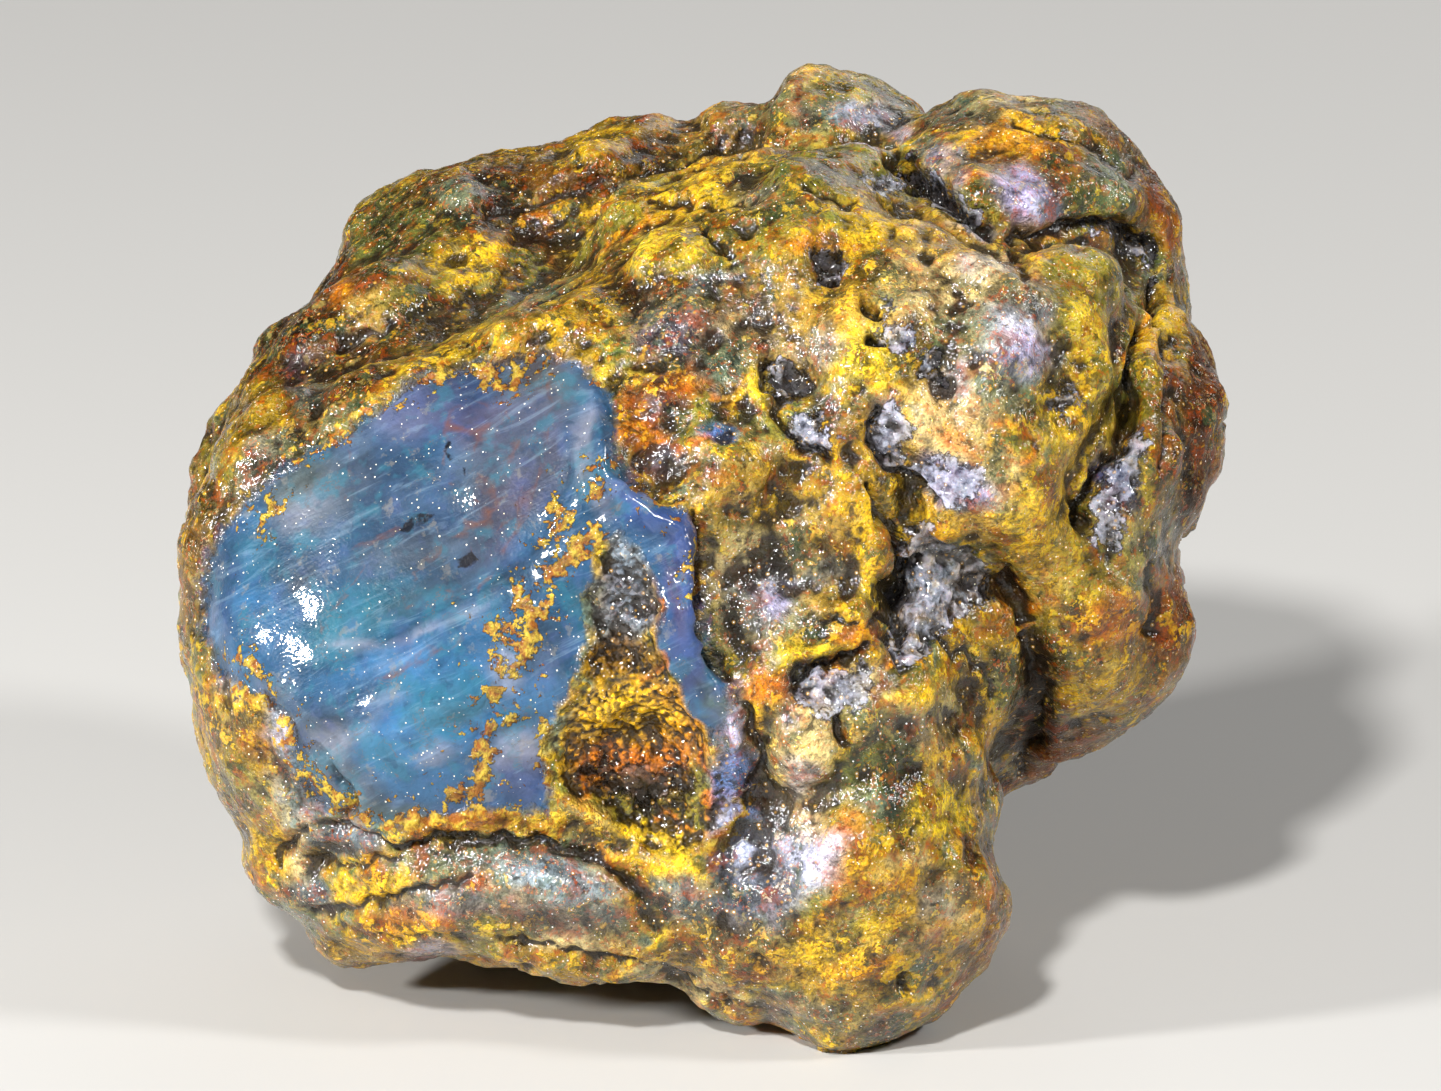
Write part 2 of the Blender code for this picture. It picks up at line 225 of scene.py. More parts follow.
WINDOW = [
    (-31.1, -1.0), (-30.4, 0.6), (-29.9, 1.6), (-28.1, 3.6), (-26.4, 4.9), (-24.4, 6.3),
    (-22.4, 7.4), (-20.7, 8.4), (-19.1, 10.0), (-17.6, 10.8), (-16.1, 11.2), (-14.0, 11.8),
    (-12.1, 11.9), (-10.0, 12.4), (-8.2, 12.1), (-6.8, 11.1), (-5.5, 9.9), (-5.2, 7.9), (-5.4, 5.9),
    (-4.5, 5.0), (-3.2, 4.0), (-2.0, 3.1), (-0.6, 2.4), (0.1, 0.4), (0.4, -1.9), (0.4, -4.4),
    (0.9, -6.4), (1.6, -8.1), (1.9, -9.4), (1.6, -11.0), (0.8, -11.9), (0.0, -11.1), (-1.2, -9.6),
    (-2.2, -7.4), (-2.8, -5.8), (-2.6, -3.2), (-3.4, -0.9), (-4.8, 0.9), (-6.2, 0.3), (-6.6, -2.5),
    (-6.9, -5.6), (-7.2, -6.4), (-8.4, -9.3), (-9.4, -10.9), (-9.6, -12.8), (-9.1, -15.1),
    (-9.5, -16.4), (-13.1, -16.4), (-16.2, -16.6), (-18.8, -17.5), (-21.8, -17.0), (-24.2, -15.8),
    (-25.5, -13.4), (-25.8, -11.1), (-27.2, -9.4), (-29.0, -8.5), (-30.4, -7.4), (-31.2, -4.4),
]
# Each low edge in the break: its line, how far it drops to the right of the line and its reach, mm
SHELLS = [
    ([(-23.9, -5.8), (-22.2, -6.0), (-20.5, -5.9), (-19.0, -5.1), (-17.5, -4.1), (-15.6, -3.2), (-13.8, -2.5),
      (-11.8, -1.0), (-10.0, 0.6), (-9.2, 2.5), (-8.7, 4.5), (-8.1, 6.9), (-7.8, 8.8)], 0.2, 3.0),
    ([(-22.2, -7.9), (-20.0, -7.1), (-17.5, -5.6), (-15.3, -4.5), (-12.5, -3.2), (-10.6, -1.9)], 0.07, 0.8),
    ([(-23.1, -9.6), (-20.5, -8.8), (-18.0, -7.4), (-15.6, -5.6), (-13.0, -4.2)], 0.06, 0.7),
    ([(-27.4, -0.6), (-25.6, -2.1), (-23.6, -4.8), (-23.1, -6.6)], 0.06, 1.2),
    ([(-21.6, 0.3), (-18.8, 1.2), (-15.6, 1.1), (-12.5, 2.4), (-10.6, 3.8)], 0.05, 1.2),
    ([(-18.8, -13.1), (-16.9, -10.9), (-14.4, -10.1), (-13.0, -8.8)], 0.16, 1.4),
]
# Each raised lip: its line, half width and height, mm
LIPS = [
    ([(-7.4, 10.6), (-6.4, 8.8), (-6.2, 6.9), (-6.0, 5.0), (-4.7, 3.4), (-2.8, 2.1), (-1.1, 1.4),
      (-0.6, -0.6), (-0.8, -3.1), (-0.6, -5.6), (0.1, -7.4), (1.4, -8.9), (2.1, -11.2), (2.5, -14.4)],
     0.5, 0.55),
    ([(-8.8, 8.1), (-7.8, 5.9), (-7.0, 4.2), (-6.2, 2.5)], 0.7, 0.35),
    ([(-8.8, -10.1), (-9.0, -13.1), (-8.4, -15.6), (-6.2, -17.0), (-3.4, -17.8), (-0.6, -18.9)], 0.5, 0.35),
    ([(-29.0, -5.6), (-27.4, -7.9), (-25.0, -9.8), (-22.5, -11.9), (-21.5, -14.4)], 0.8, 0.22),
]
# Low swells and dips of the break: centre, radii, turn in degrees, height
WAVES = [
    ((-0.6, -1.2), (0.35, 0.6), 0, 0.2), ((-0.6, -3.4), (0.35, 0.5), 0, 0.2),
    ((-0.4, -5.4), (0.35, 0.5), 0, 0.2), ((-16.9, -12.8), (1.9, 0.90), 20, 0.34),
    ((-21.1, -6.0), (3.0, 0.55), -4, 0.13), ((-14.4, -5.6), (2.4, 0.5), 30, 0.09),
    ((-14.7, -9.4), (1.2, 0.72), 0, 0.17), ((-25.6, 2.2), (2.2, 0.90), 30, 0.13),
    ((-29.1, -4.1), (2.0, 1.80), 0, 0.12), ((-15.6, 5.0), (3.6, 1.44), 30, -0.15),
    ((-18.8, -3.1), (4.5, 0.90), 22, -0.13), ((-14.4, -11.2), (2.0, 0.84), -20, -0.21),
    ((-22.5, -2.5), (2.6, 1.20), 0, 0.10), ((-11.2, -5.6), (1.6, 1.56), -25, 0.12),
    ((-23.1, -11.9), (1.6, 0.72), 35, -0.15), ((-20.1, -9.7), (1.5, 0.60), 30, 0.13),
    ((-10.6, -13.8), (2.2, 0.96), 0, -0.12),
]
# Small old breaks on the far sides: centre in mm from the origin, and radius
FAR_BREAKS = [((24.0, 20.0, 22.0), 6.5), ((-14.0, 26.0, 28.0), 7.5), ((-27.0, 8.0, 16.0), 5.0),
              ((10.0, 12.0, 50.0), 4.0)]
RIND_STEP = 0.2  # how far the rind stands above the break, mm
BREAK_FRAY = 3.4  # how far the edge of a far break wanders, mm
OUTSIDE = 8.0  # beyond this a distance from an edge no longer matters, mm

BLUES = {
    "azure": "#3A668C", "cobalt": "#425E96", "teal": "#3E849A", "periwinkle": "#6675A6",
    "dusk": "#4A5A76", "haze": "#6E7884", "mauve": "#69546A", "navy": "#22365C", "sage": "#6A7664",
    "steel": "#566676", "frost_and_glint": "#C8C8DA", "brown": "#5E3F16",
    "umber": "#3A2612", "iris": "#4C68AC", "sky": "#4E8EC4", "lilac": "#7C7E9C",
}
FAR_TINTS = ("mauve", "haze", "azure", "teal", "cobalt", "sky", "steel")  # of the far breaks
# Each patch of colour in the window: colour, centre, radii, turn in degrees and strength
# Frost patches paint glints along the lip, and wet highlights on the ridges of the break
BLUE_PATCHES = [
    ("azure", (-17.5, -3.1), (20.0, 20.0), 0, 1.0), ("cobalt", (-16.2, 9.1), (3.6, 2.2), 24, 0.6),
    ("lilac", (-18.1, 9.1), (3.6, 2.2), 24, 0.7),
    ("periwinkle", (-16.8, 10.0), (2.0, 1.0), 28, 0.5), ("haze", (-24.2, 3.2), (3.2, 2.6), 35, 0.8),
    ("frost_and_glint", (-25.0, 2.8), (2.0, 1.2), 35, 0.25), ("sage", (-25.0, 4.4), (2.4, 1.0), 40, 0.5),
    ("haze", (-21.8, 5.9), (1.6, 3.0), 12, 0.5), ("dusk", (-19.4, 4.4), (3.4, 2.6), 20, 0.45),
    ("steel", (-25.0, -1.6), (2.4, 1.4), 20, 0.6), ("umber", (-24.9, -1.9), (1.3, 0.6), 15, 0.45),
    ("teal", (-21.2, -4.1), (4.4, 2.0), 24, 0.7), ("sky", (-16.9, -10.0), (7.4, 5.0), 15, 0.75),
    ("teal", (-15.6, -9.4), (2.6, 2.0), 0, 0.7), ("sky", (-28.1, -4.4), (3.4, 3.0), 20, 0.5),
    ("frost_and_glint", (-21.8, -6.0), (2.2, 0.35), -2, 0.45), ("frost_and_glint", (-17.8, -5.1), (1.8, 0.3), 28, 0.5),
    ("frost_and_glint", (-14.4, -3.8), (1.8, 0.25), 24, 0.35),
    ("frost_and_glint", (-19.1, -6.9), (2.2, 0.25), 22, 0.35), ("sky", (-19.7, -6.9), (3.0, 0.8), 15, 0.6),
    ("frost_and_glint", (-16.5, -12.9), (1.3, 0.8), 20, 0.45), ("frost_and_glint", (-19.2, -9.4), (1.6, 0.4), 35, 0.25),
    ("frost_and_glint", (-21.2, -11.6), (1.8, 0.5), 40, 0.3), ("sky", (-13.8, -5.6), (1.8, 2.0), 0, 0.5),
    ("teal", (-28.1, -0.6), (2.0, 1.4), 30, 0.4), ("haze", (-10.0, 10.0), (3.0, 2.6), 10, 0.85),
    ("brown", (-9.7, 11.0), (1.8, 1.3), 0, 0.4), ("lilac", (-11.2, 6.9), (3.4, 3.4), 20, 0.7),
    ("mauve", (-10.0, 5.0), (1.4, 2.8), -14, 0.45), ("haze", (-12.5, 5.0), (3.6, 3.4), 20, 0.55),
    ("mauve", (-13.9, 7.9), (2.4, 1.6), 20, 0.5), ("mauve", (-12.2, 3.1), (2.4, 1.6), 50, 0.5),
    ("mauve", (-13.0, 0.3), (2.2, 0.9), 35, 0.5), ("haze", (-17.5, 0.1), (4.6, 1.4), 14, 0.6),
    ("steel", (-15.6, -2.2), (4.4, 1.0), 22, 0.5), ("azure", (-17.5, 3.1), (2.6, 1.6), 0, 0.6),
    ("dusk", (-17.2, 2.8), (4.0, 2.6), 15, 0.45), ("navy", (-16.9, 1.9), (3.0, 0.8), 12, 0.3),
    ("dusk", (-11.2, 6.2), (2.6, 3.4), 10, 0.4), ("dusk", (-21.2, -9.4), (3.0, 1.4), 20, 0.5),
    ("sky", (-10.6, -8.8), (2.2, 3.0), 0, 0.5), ("frost_and_glint", (-12.0, -7.4), (0.8, 1.8), -10, 0.55),
    ("frost_and_glint", (-11.2, -12.8), (1.8, 1.8), 0, 0.7), ("lilac", (-11.0, -14.1), (2.4, 1.6), 0, 0.5),
    ("cobalt", (-10.8, -14.7), (2.4, 1.6), 0, 0.6), ("steel", (-23.8, -11.9), (2.6, 2.4), -30, 0.8),
    ("haze", (-22.5, -14.4), (2.8, 1.4), -25, 0.75),
    ("frost_and_glint", (-23.1, -11.9), (1.4, 1.0), -30, 0.35), ("haze", (-26.6, -8.8), (1.6, 0.9), -30, 0.6),
    ("azure", (-6.9, 6.9), (1.4, 3.0), 0, 0.8), ("teal", (-6.2, 4.4), (2.0, 1.4), -20, 0.6),
    ("frost_and_glint", (-7.2, 6.9), (0.8, 2.6), -8, 0.6), ("frost_and_glint", (-6.0, 3.1), (0.8, 1.2), 0, 0.6),
    ("frost_and_glint", (-4.0, 3.4), (1.4, 0.5), -20, 0.55), ("frost_and_glint", (-0.6, -0.8), (0.4, 0.9), 0, 0.7),
    ("frost_and_glint", (0.1, -6.6), (0.5, 0.8), 0, 0.6), ("mauve", (-1.6, -3.1), (0.4, 2.6), 4, 0.6),
    ("frost_and_glint", (-0.6, -4.4), (0.4, 1.1), 0, 0.5), ("azure", (-0.4, -3.8), (0.9, 3.6), 0, 0.5),
    ("iris", (-0.6, -0.6), (1.4, 3.0), 0, 0.7), ("iris", (-1.0, 0.3), (1.2, 2.0), 0, 0.5),
    ("cobalt", (-3.8, 2.4), (2.6, 1.2), -20, 0.7), ("iris", (-0.8, -3.1), (1.6, 6.0), 0, 0.9),
    ("iris", (-3.8, 3.1), (3.0, 1.0), -25, 0.6), ("mauve", (-1.6, -2.5), (0.5, 3.2), 4, 0.6),
    ("periwinkle", (-0.5, -0.6), (0.9, 2.4), 0, 0.5), ("dusk", (2.4, -11.9), (1.6, 4.0), 0, 0.8),
    ("sage", (1.1, -9.4), (1.0, 1.4), 0, 0.6), ("steel", (2.2, -16.9), (1.4, 2.4), 0, 0.7),
    ("azure", (-8.0, -8.8), (1.2, 4.0), 0, 0.8), ("teal", (-7.8, -3.8), (0.9, 2.0), 0, 0.6),
    ("steel", (-9.7, -6.2), (1.2, 1.8), 0, 0.5), ("sage", (-19.7, -16.4), (3.0, 0.7), -8, 0.6),
    ("azure", (-29.1, -5.6), (1.6, 1.8), 0, 0.6), ("dusk", (-29.9, -3.1), (0.9, 3.0), 0, 0.5),
]
facing = step_up(-0.02, 0.16, normals @ FACE_OUT)
spots = seen_on_face(points)
ragged = spots + wandering(points, 0.45, 1.1)
loose = spots + 0.4 * (ragged - spots)

window = np.where(normals @ FACE_OUT > 0.0, into_loop(ragged, WINDOW), -OUTSIDE)
for centre, radius in FAR_BREAKS:
    reach = np.linalg.norm(points - np.array(centre), axis=1) + BREAK_FRAY * cloud(points, 5.0, 4, 3.3)
    window = np.maximum(window, radius - reach - OUTSIDE * facing)
keep("window", np.clip(window, -OUTSIDE, OUTSIDE))
bare = step_up(-0.2, 0.25, window)

raised -= RIND_STEP * bare * (1.0 - 0.7 * step_up(1.0, 6.0, window))
raised += bare * (0.06 * cloud(points, 4.2, 2, 5.5) + 0.015 * cloud(points, 1.1, 2, 2.5))
raised += bare * 0.07 * step_up(-2.0, -9.0, spots[:, 1]) * cloud(points, 1.7, 2, 6.8)
for line, drop, reach in SHELLS:
    distance, signed, along = from_line(loose, line)
    fall = step_up(-0.22, 0.22, signed) * (1.0 - step_up(0.0, reach, distance))
    raised -= facing * drop * end_fade(along, 0.15) * fall
for line, half, height in LIPS:
    distance, _, along = from_line(loose, line)
    raised += facing * height * end_fade(along, 0.1) * np.exp(-((distance / half) ** 2))
for centre, radii, turn, height in WAVES:
    raised += facing * height * np.exp(-1.5 * in_oval(loose, centre, radii, turn) ** 2)

soft_spots = spots + wandering(points, 0.5, 1.8, 1.0) + wandering(points, 0.25, 0.7, 2.0)
far_tints = np.array([linear(BLUES[name]) for name in FAR_TINTS])
pick = (cloud(points, 3.6, 3, 4.9) * 1.3 + 0.5).clip(0.0, 0.999) * (len(FAR_TINTS) - 1)
blend = step_up(0.2, 0.8, pick % 1.0)[:, None]
blue = far_tints[pick.astype(int)] * (1.0 - blend) + far_tints[pick.astype(int) + 1] * blend
keep("blue_colour", painted(blue, soft_spots, BLUE_PATCHES, BLUES))


# ------------------------------------------------------------------------ Keyhole pit
# A rusty, sandy pocket in the blue where the resin hardened round grit: a narrow grey-brown arm
# above, a wide orange hollow below it, and a dark broken core.

KEYHOLE = [
    (-4.8, 1.1), (-3.3, -0.9), (-2.5, -3.2), (-2.8, -5.8), (-2.0, -7.4), (-1.1, -9.6), (0.2, -11.2),
    (0.5, -12.8), (1.8, -14.6), (2.2, -16.0), (1.2, -17.6), (-1.1, -19.2), (-3.0, -18.8),
    (-5.0, -17.4), (-6.8, -16.0), (-9.0, -15.2), (-9.5, -12.8), (-9.4, -10.9), (-8.2, -9.3),
    (-7.0, -6.4), (-6.9, -5.8), (-7.4, -3.6), (-6.5, -0.1),
]
KEYHOLE_CORE = [
    (-7.1, -13.9), (-6.0, -13.1), (-5.1, -14.0), (-3.8, -13.2), (-2.9, -14.1), (-1.2, -13.9),
    (-0.4, -15.1), (-1.5, -15.6), (-2.2, -15.0), (-3.2, -16.1), (-4.4, -15.4), (-5.5, -15.6),
]
KEYHOLE_DEPTH = 0.55  # mm
CORE_DEPTH = 0.3  # below the rest of the pit, mm
GRIT = 0.62  # size of the pit's grains, mm


def crumbs(places, size, shift=0.0):
    """Rounded grains packed side by side: 1 on top of a grain, 0 in the joint between grains."""
    near = [noise.voronoi(place)[0] for place in (places / size + shift).tolist()]
    return np.array([step[1] - step[0] for step in near]).clip(0.0, 0.45) / 0.45


keyhole = np.where(facing > 0.0, into_loop(ragged, KEYHOLE), -OUTSIDE)
core = np.where(facing > 0.0, into_loop(ragged, KEYHOLE_CORE), -OUTSIDE)
keep("keyhole", keyhole.clip(-OUTSIDE, OUTSIDE))
keep("core", core.clip(-OUTSIDE, OUTSIDE))
raised -= KEYHOLE_DEPTH * step_up(-0.1, 0.7, keyhole) + CORE_DEPTH * step_up(-0.2, 0.5, core)
gritty = step_up(0.0, 0.4, keyhole)
raised += gritty * (0.24 * (crumbs(points, GRIT, 5.0) - 0.6) + 0.34 * cloud(points, 1.6, 3, 8.0))


# ------------------------------------------------------------------------ Crust and veins
# Flakes of the gold rind still cling to the break in a ragged net, and thin red-brown veins of
# oxidised resin run into the blue from its edges.

# Each run of crust: its line and half width, mm
CRUSTS = [
    ([(-9.3, 2.9), (-9.0, 2.6)], 0.35),
    ([(-6.6, 1.1), (-7.7, 0.1), (-8.6, -0.6), (-9.6, -1.5)], 0.5),
    ([(-11.6, -2.5), (-11.0, -3.4), (-10.1, -3.9), (-9.6, -3.1)], 0.42),
    ([(-10.8, -3.9), (-10.5, -5.4), (-11.0, -6.9)], 0.36),
    ([(-11.0, -6.9), (-11.9, -8.1), (-12.9, -9.0)], 0.4),
    ([(-12.6, -4.9), (-12.1, -6.1), (-12.4, -7.4)], 0.3),
    ([(-11.8, -10.4), (-12.8, -11.0), (-13.8, -11.9), (-13.5, -13.5)], 0.4),
    ([(-13.5, -13.5), (-14.1, -15.0), (-15.9, -15.5)], 0.42),
    ([(-19.5, -17.4), (-16.9, -16.9), (-14.4, -16.6), (-11.2, -17.2), (-8.8, -17.4)], 0.42),
    ([(-5.5, 11.4), (-3.8, 11.4), (-2.0, 10.6)], 0.4),
    ([(-12.3, 11.8), (-11.2, 11.2), (-11.6, 10.2)], 0.3),
    ([(-14.1, 11.6), (-13.1, 11.0), (-12.5, 10.2)], 0.3),
    ([(-29.6, -9.4), (-28.4, -8.9), (-27.4, -9.8)], 0.4),
    ([(-29.2, -7.0), (-28.0, -7.1), (-27.4, -7.9)], 0.3),
    ([(-27.4, -9.8), (-26.0, -11.1), (-25.0, -13.1)], 0.25),
    ([(-27.8, 1.5), (-27.0, 2.4), (-26.8, 3.1)], 0.2),
    ([(0.0, 0.1), (0.2, -1.0), (0.0, -2.5)], 0.25), ([(-3.8, 3.9), (-2.5, 3.2), (-0.6, 2.8)], 0.25),
    ([(-6.9, 5.0), (-6.1, 4.4), (-6.5, 3.2)], 0.22),
    ([(-25.2, 5.5), (-22.4, 7.5), (-20.0, 9.0), (-17.2, 10.8), (-14.4, 11.6), (-10.0, 12.2)], 0.04),
    ([(-6.4, 0.3), (-6.0, -0.8)], 0.3),
    ([(1.4, -16.4), (2.1, -15.8), (1.8, -17.5), (0.0, -18.8)], 0.5),
    ([(-9.4, -11.2), (-9.4, -13.1), (-8.8, -14.9), (-6.4, -16.1), (-3.8, -17.1)], 0.45),
    ([(-25.0, -14.1), (-23.1, -15.6), (-20.9, -16.9)], 0.3),
    ([(-9.7, 0.6), (-9.0, 1.2), (-8.4, 2.0)], 0.2),
]
CRUST_HEIGHT = 0.16
# Each vein: its line and half width, mm
VEINS = [
    ([(-15.9, 8.2), (-14.9, 9.2), (-13.9, 9.5)], 0.14),
    ([(-16.1, 8.1), (-15.2, 7.5), (-13.9, 7.4), (-13.1, 7.9)], 0.16),
    ([(-21.8, 0.1), (-20.5, 0.6), (-19.2, 1.1), (-18.5, 1.6)], 0.14),
    ([(-17.1, -0.1), (-15.8, 0.6), (-14.0, 1.5), (-13.2, 2.4)], 0.16),
    ([(-13.4, 9.5), (-13.1, 7.9), (-14.4, 6.2)], 0.12),
    ([(-12.9, 4.4), (-12.6, 3.1), (-13.6, 1.9)], 0.22),
    ([(-9.4, 11.8), (-9.5, 9.1), (-9.9, 5.0), (-10.6, 3.1), (-11.7, 0.6), (-12.6, -1.0),
      (-13.9, -2.5)], 0.13),
    ([(-16.1, 8.6), (-15.9, 6.9), (-16.1, 5.5), (-15.2, 3.1), (-14.9, 1.9), (-14.1, 0.3),
      (-14.4, -1.2)], 0.12),
    ([(-14.6, 5.2), (-13.8, 4.4), (-14.0, 2.8), (-13.1, 1.9), (-13.2, 0.1)], 0.12),
    ([(-12.0, 5.0), (-11.1, 4.0), (-11.5, 2.5), (-12.5, 1.4)], 0.10),
    ([(-13.9, 9.5), (-12.1, 8.8), (-11.2, 6.9), (-11.8, 5.5)], 0.10),
    ([(-21.4, 0.2), (-21.2, -0.1), (-21.3, -1.8)], 0.10),
    ([(-21.3, -1.8), (-22.5, -3.1), (-23.6, -4.5), (-23.9, -5.6)], 0.10),
    ([(-21.9, 8.8), (-21.8, 6.9), (-21.9, 4.4), (-22.1, 3.1)], 0.14),
    ([(-13.8, 7.4), (-12.5, 6.6), (-12.0, 5.0)], 0.12),
    ([(-16.2, -0.3), (-17.5, -0.9), (-18.1, -1.9)], 0.14),
    ([(-19.1, -3.8), (-16.9, -2.9), (-15.2, -2.4)], 0.08),
    ([(-19.2, -7.9), (-16.2, -6.4), (-13.1, -4.5)], 0.08),
    ([(-21.8, -8.8), (-18.8, -7.4), (-16.2, -5.6)], 0.07),
]
# Black flecks of plant matter sealed in the blue, in the same form
FLECKS = [
    ([(-14.8, -0.8), (-14.2, -0.4), (-13.7, -0.2)], 0.42), ([(-18.6, 1.2), (-17.8, 1.6)], 0.26),
    ([(-17.9, 2.2), (-17.0, 1.8), (-16.5, 2.1)], 0.24), ([(-15.9, 6.6), (-15.5, 5.8)], 0.26),
    ([(-18.5, -0.2), (-18.1, 0.1)], 0.16), ([(-20.8, -1.7), (-20.4, -1.5)], 0.12),
    ([(-15.1, 5.5), (-14.8, 5.2)], 0.18), ([(-25.0, -2.0), (-24.4, -1.8)], 0.16),
    ([(-14.9, 5.0), (-14.6, 4.6)], 0.12), ([(-12.5, -3.8), (-12.2, -4.1)], 0.12),
]
crust = np.full(len(points), -OUTSIDE)
for line, half in CRUSTS:
    crust = np.maximum(crust, half - from_line(ragged, line)[0])
crust += 0.42 * cloud(points, 0.9, 4, 4.4)
scattered = 0.6 * cloud(points, 0.55, 2, 8.1) - 0.24 - 0.16 * np.maximum(-crust, 0.0)
crust = np.maximum(crust, scattered)
far_crust = 0.8 * cloud(points, 1.9, 4, 2.9) - 0.05 - 0.2 * np.abs(window)
crust = np.where(facing > 0.0, crust, far_crust)
keep("crust", crust.clip(-OUTSIDE, OUTSIDE))
for name, lines in (("vein", VEINS), ("fleck", FLECKS)):
    depth = np.full(len(points), -OUTSIDE)
    for line, half in lines:
        depth = np.maximum(depth, half - from_line(loose, line)[0])
    keep(name, np.where(facing > 0.0, depth, -OUTSIDE).clip(-OUTSIDE, OUTSIDE))
raised += bare * CRUST_HEIGHT * step_up(0.0, 0.3, crust)


# ------------------------------------------------------------------------ Rind
# The weathered crust that the stone wore in the ground: crumbly and lumpy, pitted, with flow
# lines on the shoulders, and stained ochre, gold, rust, olive and grey-green by iron and clay.

# Size and height of its lumps, mm, and where in the noise each is taken
RIND_LUMPS = ((4.2, 0.22, 3.1), (1.9, 0.17, 6.2), (0.95, 0.08, 2.7))
RIND_CRUMBS = ((1.3, 0.06), (0.75, 0.05))  # size and height of its packed grains, mm
PIT_SPACING, PIT_DEPTH = 3.1, 0.35  # of its scattered small pits, mm
FLOW_LENGTH, FLOW_WIDTH, FLOW_HEIGHT = 6.0, 1.0, 0.22  # of the lines on the shoulders, mm
FLOW_TURN = math.radians(37.0)

# amber paints the dim glow of light through thin resin at the right-hand edges, in the shade there
# frost is a pale frosted skin that also paints glints
RIND_COLOURS = {
    "ochre": "#A98318", "gold": "#DAB01C", "yellow": "#E4C52A", "orange": "#CE7410",
    "rust": "#963C0C", "olive": "#7A7222", "moss": "#56652C", "sage": "#66745A", "sea": "#4C7068",
    "steel": "#50626F", "slate": "#3A3E50", "cream": "#E0C888", "sand": "#B8923E",
    "brown": "#5E3C0C", "umber": "#2E1C08", "lilac": "#A79EC4", "frost_and_glint": "#C8CCE4",
    "azure": "#2F74B8", "dusk": "#4C6494", "haze": "#748490", "mauve": "#704C64",
    "amber": "#6C3804", "navy": "#1E3160", "smoke": "#5C5C62",
}
# A smooth rounded band that the rind makes below the window
BAND = [
    (-23.6, -19.9), (-18.4, -19.1), (-13.8, -18.1), (-10.2, -18.4), (-7.1, -18.9), (-5.1, -20.1),
    (-3.8, -22.2), (-3.1, -24.4), (-6.2, -24.7), (-10.1, -24.4), (-13.1, -23.9), (-16.2, -22.9),
    (-18.6, -21.6),
]
GROUND_STAINS = ("ochre", "olive", "sage", "gold", "moss", "ochre", "sand", "brown", "orange",
                 "olive")
# Broad stains of the far sides: colour, centre in mm from the origin, radius and strength
FAR_STAINS = [
    ("olive", (-10, 26, 10), 11, 0.8), ("cream", (13, 22, 38), 7, 0.7), ("brown", (0, 27, 42), 9, 0.8),
    ("umber", (27, 10, 40), 7, 0.6), ("steel", (18, 22, 9), 8, 0.7), ("rust", (31, -6, 20), 9, 0.6),
    ("amber", (32, 6, 30), 9, 0.8), ("sage", (-24, 14, 38), 8, 0.8), ("moss", (-14, 18, 48), 7, 0.7),
    ("lilac", (13, 2, 52), 5, 0.7), ("sand", (-29, 2, 36), 8, 0.7), ("slate", (-30, -2, 10), 6, 0.6),
    ("gold", (-4, 29, 22), 7, 0.7), ("mauve", (9, 28, 26), 6, 0.7), ("frost_and_glint", (-22, 22, 16), 5, 0.7),
    ("brown", (28, -14, 8), 7, 0.7), ("cream", (-6, 10, 52), 5, 0.6), ("olive", (20, 16, 46), 6, 0.6),
    ("haze", (-26, 16, 24), 5, 0.7), ("umber", (4, 20, 6), 9, 0.6), ("orange", (22, 24, 32), 4, 0.6),
    ("sea", (-18, 8, 50), 5, 0.6), ("sand", (26, 18, 12), 6, 0.6), ("rust", (-8, 27, 34), 5, 0.5),
]
